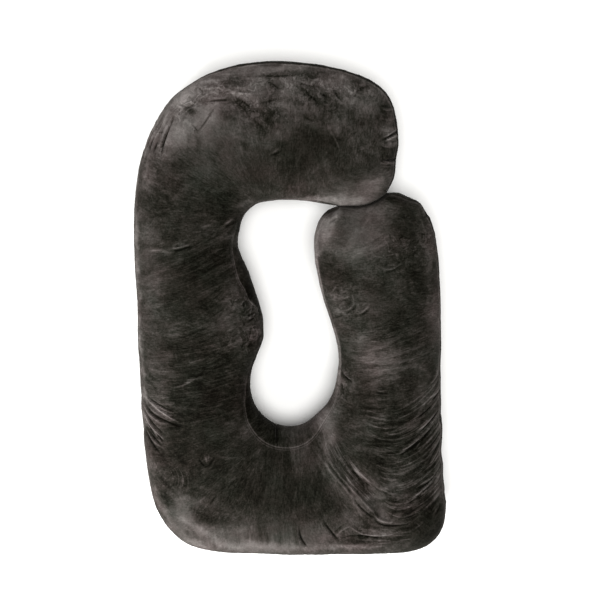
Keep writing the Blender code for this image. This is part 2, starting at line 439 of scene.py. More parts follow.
class Finish:
    """A material with one Principled shader, whose other nodes are added by plain calls."""

    def __init__(self, name, constants):
        self.material = bpy.data.materials.new(name)
        self.material.use_nodes = True
        self.tree = self.material.node_tree
        self.shader = self.tree.nodes["Principled BSDF"]
        for key, value in constants.items():
            self.shader.inputs[key].default_value = value

    def node(self, kind, settings=None, inputs=None, output=0):
        """Adds a node: its settings first, then the values or links of its sockets."""
        made = self.tree.nodes.new(kind)
        for key, value in (settings or {}).items():
            if key == "stops":
                self.set_stops(made.color_ramp, value)
            else:
                setattr(made, key, value)
        for key, value in (inputs or {}).items():
            if isinstance(value, Value):
                self.tree.links.new(value.socket, made.inputs[key])
            else:
                made.inputs[key].default_value = value
        return Value(self, made.outputs[output])

    @staticmethod
    def set_stops(ramp, stops):
        """A ramp's places and colours, of which the first and the last are its ends."""
        for end, (where, colour) in zip(ramp.elements, (stops[0], stops[-1])):
            end.position = where
            end.color = (*colour, 1)
        for where, colour in stops[1:-1]:
            ramp.elements.new(where).color = (*colour, 1)

    def attribute(self, name):
        """A number that the mesh holds at each point."""
        return self.node("ShaderNodeAttribute", {"attribute_name": name}, output="Fac")

    def noise(self, vector, scale, detail=2.0, roughness=0.5, distortion=0.0):
        """Noise from about -1 to 1."""
        made = self.node("ShaderNodeTexNoise", {"noise_dimensions": "3D"},
                         {"Vector": vector, "Scale": scale, "Detail": detail, "Roughness": roughness,
                          "Distortion": distortion})
        return made * 2 - 1

    def tinted(self, colour, warmth):
        """The colour, a little rosier where warmth is 1 and a little greener where it is -1."""
        tint = self.node("ShaderNodeMix", {"data_type": "RGBA"},
                         {0: warmth * 0.9 + 0.5, 6: GREENER, 7: ROSIER}, output=2)
        return self.node("ShaderNodeMix", {"data_type": "RGBA", "blend_type": "MULTIPLY"},
                         {0: 1.0, 6: colour, 7: tint}, output=2)

    def feed(self, name, value):
        """Links a value to the shader's socket."""
        self.tree.links.new(value.socket, self.shader.inputs[name])


def swell(node):
    """The cover, which is a copy of the solid, drawn in, remeshed, filled by cloth simulation and held to
    the solid. Returns it with the solid's own surface."""
    mesh = node.data.copy()
    cover = bpy.data.objects.new("plush_cover", mesh)
    scene.collection.objects.link(cover)
    bm = bmesh.new()
    bm.from_mesh(mesh)
    bmesh.ops.remove_doubles(bm, verts=bm.verts, dist=MERGE)
    bm.normal_update()
    solid = BVHTree.FromBMesh(bm)
    for vert in bm.verts:
        vert.co -= vert.normal * SHRINK
    bm.to_mesh(mesh)
    bm.free()
    bpy.ops.object.select_all(action="DESELECT")
    cover.select_set(True)
    bpy.context.view_layer.objects.active = cover
    remesh = cover.modifiers.new("remesh", "REMESH")
    remesh.mode = "VOXEL"
    remesh.voxel_size = VOXEL
    bpy.ops.object.modifier_apply(modifier="remesh")
    rest = positions(cover.data)
    cloth = cover.modifiers.new("filling", "CLOTH")
    cloth.settings.use_pressure = True
    cloth.settings.uniform_pressure_force = PRESSURE
    cloth.settings.effector_weights.gravity = 0
    for step in range(1, LAST_STEP + 1):
        scene.frame_set(step)
    bpy.ops.object.modifier_apply(modifier="filling")
    scene.frame_set(1)
    move = positions(cover.data) - rest
    length = np.linalg.norm(move, axis=1, keepdims=True)
    swollen = rest + move * np.minimum(1, MOST_MOVE / np.maximum(length, 1e-9))
    edges = edges_of(cover.data)
    held = held_to(solid, swollen, SUNK)
    for _ in range(SMOOTHING_ROUNDS):
        for share in SMOOTHING:
            held = relaxed(held, edges, 1, share)
    place(cover.data, held_to(solid, held, SMOOTHED_SUNK))
    return cover, solid


def held_to(solid, points, sunk):
    """The points, none of them more than PROUD outside the solid or sunk inside it, and flat where it rests.
    """
    held = points.copy()
    for number, point in enumerate(points):
        near, normal, _, _ = solid.find_nearest(Vector(point))
        gap = (Vector(point) - near).dot(normal)
        kept = min(max(gap, -sunk), PROUD)
        held[number] = point + np.array(normal) * (kept - gap)
        if normal.z < FACING_DOWN:
            held[number][2] = 0
    held[:, 2] = np.maximum(held[:, 2], 0)
    return held


def divide(cover, chosen):
    """Divides each face that has a chosen point once, and keeps the rest as they are."""
    bm = bmesh.new()
    bm.from_mesh(cover.data)
    bm.verts.ensure_lookup_table()
    faces = [face for face in bm.faces if any(chosen[vert.index] for vert in face.verts)]
    edges = list({edge for face in faces for edge in face.edges})
    bmesh.ops.subdivide_edges(bm, edges=edges, cuts=1, use_grid_fill=True, smooth=1.0)
    bm.to_mesh(cover.data)
    bm.free()
    cover.data.update()


def ring_at(node, height):
    """The closed line round the solid at a height, in mm of the pattern, anticlockwise from above."""
    bm = bmesh.new()
    bm.from_mesh(node.data)
    bmesh.ops.remove_doubles(bm, verts=bm.verts, dist=MERGE)
    level = {vert for vert in bm.verts if abs(vert.co.z - height * MM) < SAME_HEIGHT}
    first = min(level, key=lambda vert: (vert.co.x, vert.co.y))
    ring, seen = [first], {first}
    while True:
        nearby = [edge.other_vert(ring[-1]) for edge in ring[-1].link_edges]
        ahead = [vert for vert in nearby if vert in level and vert not in seen]
        if not ahead:
            break
        ring.append(ahead[0])
        seen.add(ahead[0])
    line = in_pattern(np.array([vert.co for vert in ring]))[:, :2]
    bm.free()
    following = np.roll(line, -1, axis=0)
    area = (line[:, 0] * following[:, 1] - line[:, 1] * following[:, 0]).sum()
    return line if area > 0 else line[::-1]


class Seam:
    """The closed line along which the strip is sewn to a panel."""

    def __init__(self, ring, set_in, height_at, up):
        """Of a line, set_in gives how far in from the ring the seam runs, and height_at how high it lies.
        The seam of the front panel has up 1, and that of the back panel -1."""
        closed = smooth_line(np.vstack((ring, ring[:1])), SEAM_STEP)[:-1]
        ahead = np.roll(closed, -1, axis=0) - np.roll(closed, 1, axis=0)
        ahead /= np.linalg.norm(ahead, axis=1, keepdims=True)
        self.inward = np.stack((-ahead[:, 1], ahead[:, 0]), axis=1)
        self.set_in = set_in(closed)
        flat = closed + self.inward * self.set_in[:, None]
        self.line = np.column_stack((flat, height_at(flat)))
        self.up = up
        steps = np.linalg.norm(np.diff(closed, axis=0, append=closed[:1]), axis=1)
        self.along = np.concatenate(([0], np.cumsum(steps)[:-1]))
        self.length = steps.sum()

    def nearest(self, points):
        """Distance to the seam, place along it, 1 on the panel's side or -1 on the strip's, and how far in."""
        tree = tree_of(self.line)
        numbers = np.array([tree.find(point)[1] for point in points])
        away = points - self.line[numbers]
        inward = self.inward[numbers]
        ahead = np.column_stack((inward[:, 1], -inward[:, 0]))
        forward = (away[:, :2] * ahead).sum(axis=1)
        away[:, :2] -= forward[:, None] * ahead
        side = np.where((away[:, :2] * inward).sum(axis=1) + self.up * away[:, 2] < 0, -1, 1)
        return np.linalg.norm(away, axis=1), self.along[numbers] + forward, side, self.set_in[numbers]


def front_seam(node, solid):
    """The seam of the front panel, on the solid's surface."""
    course = np.array(FRONT_SEAM_COURSE, float)

    def set_in(line):
        gaps = np.linalg.norm(line[:, None, :] - course[None, :, :2], axis=2)
        weights = np.exp(-((gaps / COURSE_BLEND) ** 2)) + COURSE_FAR * np.exp(-gaps / COURSE_BLEND)
        return (weights * course[:, 2]).sum(axis=1) / weights.sum(axis=1)

    def height_at(line):
        down = Vector((0, 0, -1))
        places = line * MM + PATTERN_CORNER
        return np.array([solid.ray_cast(Vector((x, y, 1)), down)[0].z for x, y in places]) / MM

    return Seam(ring_at(node, STRIP_MIDDLE), set_in, height_at, 1)


def back_seam(node):
    """The seam of the back panel."""
    return Seam(ring_at(node, STRIP_MIDDLE), lambda line: np.full(len(line), float(STRIP_BULGE)),
                lambda line: np.full(len(line), float(BACK_SEAM)), -1)


def flow(points):
    """How far along the pillow's middle line each point is, and how far across from it, in mm."""
    line = smooth_line(SPINE, SPINE_STEP)
    ahead = np.gradient(line, axis=0)
    ahead /= np.linalg.norm(ahead, axis=1, keepdims=True)
    before = np.concatenate(([0], np.cumsum(np.linalg.norm(np.diff(line, axis=0), axis=1))))
    tree = tree_of([(x, y, 0) for x, y in line])
    numbers = np.array([tree.find((x, y, 0))[1] for x, y in points[:, :2]])
    away = points[:, :2] - line[numbers]
    forward = (away * ahead[numbers]).sum(axis=1)
    sideways = ahead[numbers, 0] * away[:, 1] - ahead[numbers, 1] * away[:, 0]
    return before[numbers] + forward, sideways


# Main creases: where each starts, its middle and its end, then its width and depth; below 0 it is a ridge
CREASES = (
    # outer edge of the top left curve
    (65, 1160, 67, 1178, 76, 1198, 8, 3.2), (78, 1157, 80, 1170, 87, 1186, 8, 3.0),
    (72, 1200, 84, 1226, 104, 1254, 8, 2.4), (58, 1164, 62, 1190, 74, 1218, 8, 2.4),
    (98, 1150, 107, 1192, 131, 1246, 8, 3.8), (88, 1160, 100, 1196, 120, 1238, 8, -1.4),
    (78, 1203, 91, 1222, 104, 1248, 8, 2.0), (74, 1207, 86, 1206, 97, 1213, 8, -1.0),
    (142, 1176, 148, 1164, 155, 1154, 8, 1.0),
    # top of the top left curve
    (180, 1226, 188, 1216, 195, 1208, 6, 2.2), (195, 1208, 212, 1229, 241, 1273, 6, 2.4),
    (149, 1277, 168, 1268, 188, 1279, 8, 1.5), (150, 1288, 160, 1300, 180, 1298, 8, -1.2),
    (192, 1318, 200, 1311, 207, 1302, 8, 2.0), (207, 1306, 228, 1308, 250, 1303, 8, 1.0),
    (206, 1321, 224, 1323, 242, 1315, 8, 0.9), (200, 1277, 236, 1283, 282, 1284, 6, 2.2),
    (262, 1273, 292, 1277, 322, 1246, 6, 1.8), (188, 1296, 190, 1286, 184, 1276, 6, 2.0),
    (80, 1205, 90, 1207, 102, 1206, 6, 1.8), (206, 1306, 224, 1307, 244, 1306, 6, 1.6),
    (214, 1326, 230, 1325, 246, 1318, 6, 1.4), (212, 1316, 222, 1318, 234, 1313, 6, 1.2),
    (143, 1269, 150, 1269, 158, 1268, 6, -1.6), (126, 1250, 128, 1240, 124, 1230, 6, 1.6),
    (280, 1288, 312, 1278, 338, 1252, 6, 2.6), (292, 1290, 318, 1272, 332, 1248, 6, 1.1),
    (310, 1296, 332, 1280, 352, 1260, 6, 1.0), (236, 1284, 264, 1284, 296, 1266, 6, 1.8),
    (327, 1240, 352, 1222, 368, 1194, 6, 1.2),
    (284, 1304, 300, 1302, 318, 1290, 10, -1.6), (345, 1344, 388, 1343, 440, 1345, 6, 2.2),
    (364, 1332, 385, 1321, 405, 1306, 6, 2.2), (350, 1277, 377, 1282, 402, 1290, 6, 1.8),
    (160, 1250, 178, 1262, 196, 1254, 8, 0.9),
    # hook
    (455, 1308, 474, 1296, 492, 1279, 9, 1.9), (438, 1333, 462, 1323, 490, 1316, 8, 1.2),
    (498, 1301, 508, 1297, 518, 1291, 8, 2.0), (530, 1314, 538, 1303, 545, 1290, 8, 1.8),
    (585, 1300, 600, 1312, 622, 1320, 8, 1.6), (566, 1294, 582, 1296, 600, 1290, 8, 1.2),
    (462, 1244, 476, 1236, 492, 1233, 9, 1.4), (526, 1208, 538, 1190, 552, 1156, 8, -1.2),
    (570, 1226, 590, 1204, 608, 1178, 8, 1.0), (560, 1232, 582, 1212, 600, 1190, 8, -0.9),
    (656, 1139, 672, 1136, 702, 1140, 8, 4.6), (664, 1133, 678, 1130, 692, 1128, 8, -1.8),
    (661, 1184, 676, 1190, 702, 1202, 8, -3.0), (660, 1194, 676, 1201, 700, 1216, 8, -2.8),
    (662, 1189, 678, 1196, 701, 1209, 8, 3.0), (372, 1152, 388, 1160, 402, 1169, 8, -1.3),
    (374, 1147, 390, 1153, 404, 1160, 8, 1.0),
    # short arm's end
    (764, 990, 774, 989, 786, 992, 9, 2.0), (662, 869, 680, 858, 712, 875, 8, -1.3),
    (670, 854, 690, 856, 708, 868, 8, 1.4), (676, 918, 690, 912, 706, 906, 8, 1.2),
    # long arm, outer half
    (48, 905, 90, 907, 126, 903, 8, -1.0), (50, 899, 90, 900, 126, 897, 8, 1.0),
    (112, 912, 142, 917, 172, 926, 8, -1.9), (112, 907, 142, 911, 176, 920, 8, 1.6),
    (250, 969, 262, 979, 274, 987, 8, -2.6), (256, 965, 268, 971, 282, 979, 6, 1.4),
    (194, 967, 208, 970, 226, 976, 8, -1.2),
    # long arm, below the waist
    (110, 538, 145, 550, 173, 568, 8, -2.0), (168, 565, 184, 577, 199, 593, 8, 1.6),
    (156, 604, 170, 614, 194, 619, 8, -1.3), (72, 509, 86, 507, 101, 508, 8, -1.2),
    (75, 521, 92, 520, 110, 518, 8, -0.9), (118, 636, 122, 624, 122, 612, 8, -0.9),
    # deep folds of the long arm's outer edge
    (30, 513, 56, 490, 112, 470, 8, 2.0), (28, 503, 62, 474, 128, 437, 9, -3.2),
    (24, 491, 54, 456, 128, 428, 8, 2.8), (40, 497, 62, 482, 114, 463, 8, -1.4),
    (25, 474, 46, 450, 76, 434, 8, -1.6), (24, 479, 44, 458, 80, 440, 8, 1.6),
    (22, 466, 40, 438, 78, 404, 8, 2.6), (22, 456, 42, 422, 77, 390, 9, -3.2),
    (22, 444, 42, 408, 66, 384, 8, 3.0), (25, 430, 48, 402, 72, 378, 8, -2.0),
    (22, 422, 44, 392, 70, 368, 8, 2.2), (28, 402, 52, 374, 82, 361, 8, -1.6),
    (25, 398, 42, 370, 64, 348, 9, 2.2), (58, 400, 66, 390, 74, 380, 9, 2.4),
    # foot of the long arm
    (173, 341, 182, 326, 195, 314, 8, 1.5), (195, 314, 208, 326, 217, 345, 8, 1.7),
    (192, 348, 194, 340, 196, 328, 8, -2.4), (202, 350, 201, 342, 199, 332, 8, -2.0),
    (220, 351, 246, 340, 292, 342, 8, -1.1), (200, 205, 210, 216, 219, 231, 8, 1.5),
    # foot between the arms
    (449, 132, 454, 96, 474, 62, 9, 2.8), (426, 196, 434, 180, 442, 164, 8, -1.0),
    (518, 152, 534, 124, 558, 90, 9, 3.0), (553, 104, 566, 124, 590, 139, 8, -1.8),
    (588, 140, 630, 112, 690, 107, 9, -2.2), (690, 107, 708, 112, 728, 120, 8, -1.4),
    (566, 96, 610, 106, 680, 97, 10, 1.6), (545, 112, 560, 132, 576, 146, 8, 1.2),
    # long diagonal creases from the hollow to the corner
    (512, 358, 550, 304, 604, 240, 8, -1.3), (604, 240, 630, 208, 656, 180, 8, -1.3),
    (503, 340, 545, 288, 598, 222, 8, -1.0), (518, 338, 552, 292, 602, 230, 8, 1.5),
    (596, 226, 628, 186, 662, 162, 8, 2.2), (656, 165, 690, 140, 764, 148, 8, 2.5),
    (652, 186, 672, 158, 712, 151, 8, -2.4), (708, 151, 734, 143, 764, 154, 8, -1.4),
    (592, 314, 620, 291, 650, 263, 8, -1.9), (590, 305, 614, 283, 644, 255, 8, 1.8),
    (648, 262, 672, 246, 700, 242, 8, 1.2),
    # outer edge of the short arm's foot
    (838, 524, 822, 512, 804, 505, 8, -1.6), (838, 514, 822, 502, 806, 496, 8, 1.6),
    (834, 500, 812, 476, 790, 462, 8, -1.4), (812, 484, 786, 462, 752, 444, 8, 1.8),
    (828, 464, 798, 436, 766, 407, 8, -2.6), (832, 456, 800, 426, 768, 398, 8, 2.6),
    (836, 448, 806, 416, 776, 392, 8, -1.4), (814, 428, 782, 398, 728, 368, 8, -2.0),
    (820, 424, 788, 392, 736, 362, 8, 2.2), (786, 396, 760, 380, 720, 354, 8, -2.8),
    (790, 388, 762, 371, 722, 347, 8, 2.6), (720, 354, 690, 343, 660, 345, 8, -1.0),
    (784, 390, 774, 376, 764, 364, 8, -2.0), (840, 398, 818, 372, 798, 352, 8, 1.8),
    (842, 388, 822, 362, 803, 338, 8, -2.2), (842, 372, 824, 346, 808, 318, 8, 2.0),
    (840, 352, 826, 332, 812, 308, 8, -2.0), (826, 274, 798, 248, 744, 213, 8, -3.2),
    (830, 266, 802, 240, 750, 206, 8, 2.8), (836, 288, 812, 262, 778, 246, 8, 1.8),
    (840, 296, 816, 272, 786, 256, 8, -1.6), (846, 300, 826, 280, 800, 268, 8, 1.6),
    (846, 212, 828, 186, 800, 160, 8, 1.1), (848, 222, 828, 200, 812, 186, 8, -1.1),
    (849, 194, 840, 182, 824, 164, 8, -1.1), (846, 182, 840, 172, 828, 154, 8, 1.1),
    (800, 152, 782, 134, 760, 124, 8, -1.2), (790, 172, 766, 150, 748, 134, 8, -1.0),
    # join of the strip in the bottom of the hollow
    (383, 410, 384, 390, 386, 370, 8, 5.5),
    # inner edge of the short arm
    (570, 573, 576, 562, 589, 552, 8, -2.6), (573, 560, 582, 552, 591, 546, 8, 2.2),
    (652, 526, 668, 523, 682, 527, 8, 1.4),
    (654, 533, 668, 530, 682, 534, 8, -1.5), (655, 602, 665, 609, 681, 614, 8, -1.0),
    (716, 604, 730, 609, 743, 617, 8, 1.0), (800, 540, 818, 560, 827, 592, 9, -1.6),
    (535, 795, 541, 804, 546, 813, 8, -1.5), (566, 745, 580, 751, 592, 766, 7, -1.5),
    (592, 766, 590, 780, 586, 795, 7, -1.3), (570, 740, 584, 745, 598, 760, 7, 1.3),
    (603, 739, 616, 747, 631, 764, 7, -1.8), (604, 734, 618, 741, 635, 757, 7, 1.4),
    (598, 750, 603, 764, 613, 773, 8, -1.0),
    # ring of the waist's pucker
    (302, 742, 297, 764, 311, 773, 8, -1.6), (311, 773, 321, 756, 306, 742, 8, -1.6),
)

# Families of fine creases between two lines: first line, last line, how many, width, depth
CREASE_FAMILIES = (
    ((842, 440, 812, 404, 780, 380), (848, 320, 820, 290, 790, 272), 10, 8, 1.1),
    ((848, 300, 818, 262, 780, 240), (856, 200, 826, 170, 790, 150), 9, 8, 1.1),
    ((610, 436, 660, 432, 730, 436), (604, 330, 650, 326, 730, 330), 14, 8, 1.0),
    ((690, 232, 730, 228, 770, 240), (690, 172, 730, 170, 780, 186), 9, 8, 1.3),
    ((640, 112, 700, 100, 750, 112), (640, 78, 700, 74, 740, 86), 5, 8, 1.0),
    ((596, 520, 640, 516, 690, 526), (600, 450, 650, 446, 710, 452), 9, 8, 0.9),
    ((30, 585, 44, 570, 60, 560), (30, 560, 45, 545, 62, 535), 4, 8, 1.3),
    ((66, 528, 90, 524, 130, 522), (70, 470, 100, 462, 140, 456), 8, 8, 0.9),
    ((150, 545, 190, 548, 230, 560), (160, 500, 200, 502, 240, 512), 6, 8, 0.7),
    ((20, 320, 70, 280, 110, 240), (60, 200, 90, 170, 130, 150), 7, 8, 0.9),
    ((300, 130, 302, 100, 306, 66), (430, 130, 432, 100, 436, 66), 8, 9, 0.8),
    ((610, 650, 670, 655, 740, 668), (620, 560, 690, 570, 760, 590), 9, 8, 0.9),
    ((120, 820, 200, 850, 270, 900), (150, 900, 210, 930, 270, 960), 7, 9, 0.6),
    ((440, 1345, 465, 1336, 490, 1330), (438, 1318, 462, 1310, 486, 1300), 5, 8, 1.0),
    ((520, 350, 555, 300, 600, 250), (540, 372, 590, 310, 640, 262), 6, 8, 0.7),
    ((60, 705, 140, 716, 230, 752), (70, 640, 150, 654, 240, 694), 6, 6, 1.0),
    ((110, 604, 190, 622, 280, 668), (120, 566, 200, 584, 290, 632), 5, 6, 1.0),
    ((150, 766, 208, 790, 258, 836), (168, 722, 226, 744, 270, 776), 6, 6, 0.9),
    ((100, 884, 170, 895, 250, 934), (120, 838, 190, 852, 262, 888), 6, 6, 1.0),
    ((560, 905, 620, 925, 680, 962), (580, 860, 640, 880, 700, 918), 4, 6, 0.8),
    ((600, 690, 660, 706, 720, 744), (590, 600, 660, 616, 730, 656), 9, 6, 1.1),
)

# Crinkles thrown over a patch: its middle, half width, half height, how many, length, lean, width, depth
CRINKLES = (
    (322, 705, 22, 62, 30, 22, 62, 8, 1.5), (285, 700, 26, 66, 22, 20, 40, 8, 1.0),
    (278, 775, 30, 36, 14, 18, 70, 8, 0.9), (232, 672, 26, 22, 12, 30, 0, 8, 0.9),
    (580, 765, 40, 50, 20, 24, 50, 8, 1.0), (520, 1300, 90, 46, 44, 20, -32, 8, 1.0),
    (430, 1290, 60, 50, 18, 22, -25, 8, 0.9), (190, 1300, 70, 50, 30, 20, 40, 8, 0.9),
    (90, 1190, 40, 50, 16, 20, 65, 8, 0.9), (320, 1320, 60, 40, 16, 24, -20, 8, 0.9),
    (615, 1315, 36, 20, 12, 20, 40, 8, 1.2), (676, 1185, 14, 60, 9, 20, 20, 8, 1.4),
    (570, 525, 14, 50, 10, 20, 40, 8, 1.4), (225, 1290, 80, 34, 16, 24, -15, 8, 0.9),
    (70, 240, 34, 70, 14, 20, -50, 8, 0.9), (690, 880, 60, 60, 14, 22, 20, 8, 0.8),
    (772, 985, 18, 40, 9, 18, -60, 8, 1.1), (546, 996, 22, 14, 8, 22, 58, 8, 1.4),
    (560, 1042, 100, 10, 22, 16, 80, 8, 0.8), (45, 1090, 14, 90, 12, 16, -60, 8, 0.8),
)

# Pleated stretches: the first and the last pleat, each as start, middle and end, how many, and how strong
PLEATED = (
    ((590, 520, 716, 500, 846, 600), (690, 160, 758, 142, 856, 205), 44, 0.63),
    ((600, 146, 690, 138, 765, 136), (590, 80, 690, 72, 765, 80), 7, 0.5),
    ((575, 705, 680, 722, 800, 765), (560, 562, 680, 578, 820, 615), 36, 0.27),
    ((78, 310, 93, 282, 90, 252), (144, 312, 157, 280, 150, 248), 15, 0.5),
    ((28, 650, 150, 668, 300, 700), (26, 420, 150, 425, 290, 450), 38, 0.31),
    ((60, 900, 170, 930, 280, 990), (60, 740, 170, 772, 290, 835), 26, 0.22),
    ((290, 385, 276, 290, 262, 195), (498, 392, 520, 300, 500, 190), 24, 0.18),
    ((504, 388, 556, 298, 648, 192), (556, 402, 604, 322, 680, 240), 12, 0.5),
    ((150, 150, 151, 110, 154, 64), (470, 150, 474, 110, 478, 64), 44, 0.16),
    ((652, 1290, 676, 1284, 704, 1292), (650, 1120, 674, 1112, 704, 1118), 13, 0.6),
    ((90, 1150, 104, 1200, 140, 1262), (36, 1130, 52, 1184, 96, 1262), 7, 0.6),
    ((190, 1270, 240, 1278, 340, 1262), (190, 1350, 250, 1366, 350, 1372), 8, 0.5),
)

# Crumpled patches: middle, length, width, lean of the length, and how strong
CRUMPLED = (
    (318, 705, 170, 60, 88, 0.85), (282, 772, 70, 70, 0, 0.6), (252, 672, 70, 50, 0, 0.4),
    (500, 1300, 190, 100, -20, 0.6), (612, 1315, 100, 60, 0, 0.65), (572, 760, 120, 110, 0, 0.45),
    (164, 1265, 80, 70, 0, 0.85), (60, 235, 150, 60, -70, 0.5), (705, 905, 130, 120, 0, 0.5),
    (570, 525, 120, 40, 88, 0.6), (640, 108, 140, 60, 0, 0.5), (188, 175, 100, 60, 0, 0.4),
    (330, 1275, 160, 120, -40, 0.65), (780, 940, 110, 40, 80, 0.5), (220, 1310, 160, 60, 10, 0.6),
    (430, 1330, 200, 60, -5, 0.4), (100, 1160, 100, 60, 70, 0.6),
)

# Patches where the pile lies smooth: middle, length, width, lean of the length, and how smooth
SMOOTH = (
    (235, 1190, 190, 150, 80, 1.0), (110, 1180, 110, 90, 70, 0.8), (600, 955, 190, 130, 0, 1.0),
    (600, 1075, 190, 80, 5, 0.9), (120, 160, 150, 90, -50, 0.9), (330, 1110, 120, 100, 0, 0.6),
    (430, 260, 240, 190, 0, 0.7), (410, 120, 240, 110, 0, 0.6), (475, 1160, 180, 150, 0, 0.8),
    (90, 860, 120, 160, 0, 0.4), (190, 830, 190, 150, 0, 0.5), (150, 620, 230, 150, 0, 0.4),
    (660, 640, 150, 90, 0, 0.4),
    (640, 770, 90, 90, 0, 0.5), (320, 90, 340, 110, 0, 0.9), (250, 1290, 200, 120, 0, 0.4),
)

# Slow changes of the pile's tone, partly its own and partly painted light and shade, lighter on the top left
# curve and along the rims: middle, length, width, lean of the length, and tone from -1 dark to 1 light
BROAD_PATCHES = (
    # top
    (185, 1275, 170, 130, 50, 0.8), (115, 1215, 80, 110, 70, 0.5), (75, 1160, 60, 100, 75, 0.7),
    (300, 1320, 150, 80, 10, 0.2), (440, 1325, 240, 90, -3, 0.45), (590, 1310, 140, 80, -20, 0.5),
    (660, 1250, 70, 140, 80, 0.25), (250, 1300, 260, 120, 10, 0.45), (450, 1290, 330, 120, -5, 0.38),
    (325, 1240, 60, 60, 0, 0.4), (220, 1335, 110, 34, 25, 0.3),
    (148, 1290, 60, 60, 0, 0.7), (430, 1364, 230, 24, 0, 0.5),
    (205, 1325, 90, 40, 20, 0.4), (525, 1322, 90, 30, -10, 0.35), (640, 1320, 60, 50, 0, 0.35),
    (460, 1325, 50, 34, 0, 0.3), (55, 1070, 60, 100, 88, 0.3),
    # long arm
    (130, 965, 140, 130, 0, -0.45), (262, 965, 60, 50, 20, 0.3), (125, 765, 140, 80, 0, -0.4),
    (210, 770, 100, 70, 0, -0.25), (130, 640, 180, 100, 0, -0.5), (140, 545, 190, 120, 0, -0.35),
    (260, 570, 90, 70, 0, -0.4), (190, 420, 280, 170, 0, -0.35), (150, 925, 120, 70, 8, -0.5),
    (190, 1005, 110, 60, 0, -0.38), (150, 785, 100, 60, 0, -0.28), (168, 698, 120, 70, 0, -0.4),
    (305, 620, 80, 80, 0, -0.28), (190, 440, 190, 90, 0, -0.22), (278, 560, 60, 60, 0, -0.5),
    (150, 600, 80, 70, 0, -0.25),
    (165, 400, 100, 70, 0, -0.25), (210, 425, 100, 60, 0, -0.3), (55, 500, 160, 60, 88, 0.18),
    (58, 650, 50, 70, 0, 0.3), (235, 700, 60, 40, 0, 0.25),
    # foot
    (250, 330, 300, 100, 0, -0.5), (110, 270, 110, 70, 0, -0.4), (170, 235, 120, 70, 0, -0.35),
    (50, 175, 120, 70, -60, -0.4), (300, 58, 400, 70, 0, 0.32), (340, 58, 340, 60, 0, 0.3),
    (180, 105, 190, 70, -10, 0.35),
    (570, 375, 80, 80, 0, -0.3), (650, 395, 220, 100, 0, -0.4), (640, 475, 130, 60, 0, -0.25),
    (715, 75, 110, 50, 0, -0.4), (60, 330, 60, 60, 0, -0.35), (250, 225, 200, 100, 0, -0.3),
    (320, 200, 90, 60, 0, -0.2), (130, 112, 150, 60, -20, -0.45), (250, 290, 130, 60, 0, -0.25),
    (222, 250, 80, 50, 0, -0.35),
    (505, 378, 50, 60, 0, -0.25), (730, 385, 70, 60, 0, -0.5), (685, 158, 70, 40, 0, 0.45),
    (665, 108, 120, 50, 0, 0.28), (785, 85, 90, 110, 0, -0.6), (650, 66, 150, 40, 0, 0.4),
    (600, 155, 100, 40, 0, 0.2),
    (670, 248, 90, 40, 0, 0.3), (640, 290, 50, 40, 0, -0.3), (415, 330, 60, 50, 0, -0.3),
    (460, 200, 80, 50, 0, -0.3), (508, 265, 70, 60, 0, -0.25), (590, 385, 50, 50, 0, 0.2),
    (530, 440, 80, 70, 0, 0.28), (800, 505, 110, 80, 0, 0.32), (825, 425, 90, 40, 80, 0.3),
    # short arm
    (570, 595, 70, 80, 0, -0.45), (668, 780, 90, 150, 0, -0.35), (620, 1015, 200, 60, 0, 0.3),
    (492, 962, 60, 70, 0, 0.7), (548, 945, 50, 90, 0, -0.5), (600, 560, 80, 50, 0, -0.5),
    (548, 490, 110, 40, 88, 0.35), (732, 705, 170, 60, 88, -0.35), (815, 700, 150, 50, 86, 0.35),
    (556, 765, 90, 50, 80, 0.45), (600, 830, 200, 60, 0, 0.15), (778, 905, 150, 44, 85, 0.4),
    (552, 560, 50, 70, 0, -0.35),
    (730, 525, 80, 110, 0, -0.45), (640, 650, 70, 60, 0, 0.25), (735, 785, 70, 70, 0, -0.28),
    (780, 738, 60, 70, 0, 0.25),
    # hook
    (575, 1120, 210, 70, 0, -0.42), (345, 1130, 110, 80, 0, -0.3),
    (200, 1150, 120, 60, 0, -0.22), (505, 1238, 60, 40, 0, -0.3), (490, 1070, 90, 60, 0, -0.3),
    (520, 1030, 180, 30, 0, 0.4),
    (572, 1085, 120, 70, 0, -0.3), (415, 1060, 90, 46, 0, -0.35), (370, 1060, 70, 46, 0, -0.2),
    (650, 1080, 70, 70, 0, 0.22),
)

# Painted light and shade of the side strip round a place, lighter where the strip faces the key lamp and
# darker where it faces away from it: middle, reach and tone
STRIP_LIGHT_AND_SHADE = (
    # bottom of the hollow, and up its left side
    (325, 450, 55, -0.9), (362, 404, 36, -0.8), (392, 436, 26, -0.5), (412, 392, 26, 0.3),
    (440, 388, 40, 0.3),
    (492, 445, 42, 1.1), (305, 520, 70, -0.8), (320, 620, 60, -0.5),
    (350, 700, 45, 0.1), (328, 775, 46, -0.75), (313, 825, 38, -0.65), (302, 880, 38, -0.7),
    (290, 960, 40, -0.2),
    # under the hook, and down the short arm's inner side
    (330, 1020, 50, 0.3), (420, 1035, 80, 0.5), (560, 1025, 90, 0.9), (487, 900, 100, 1.0),
    (505, 780, 80, 0.9), (545, 650, 80, 1.0), (545, 550, 60, 1.1),
    # short arm's end and the hook's outer side
    (520, 1020, 30, -1.0), (600, 1050, 70, -0.6), (700, 1060, 70, -1.4), (775, 1010, 60, -1.1),
    (715, 1170, 100, -1.1), (640, 1320, 120, -1.2), (450, 1370, 150, -1.0), (330, 1370, 60, -1.0),
    # foot and the long arm's outer side
    (330, 10, 160, 1.2), (130, 60, 110, 1.3), (520, 15, 100, 0.8), (10, 270, 150, 0.8), (5, 700, 260, 0.6),
)

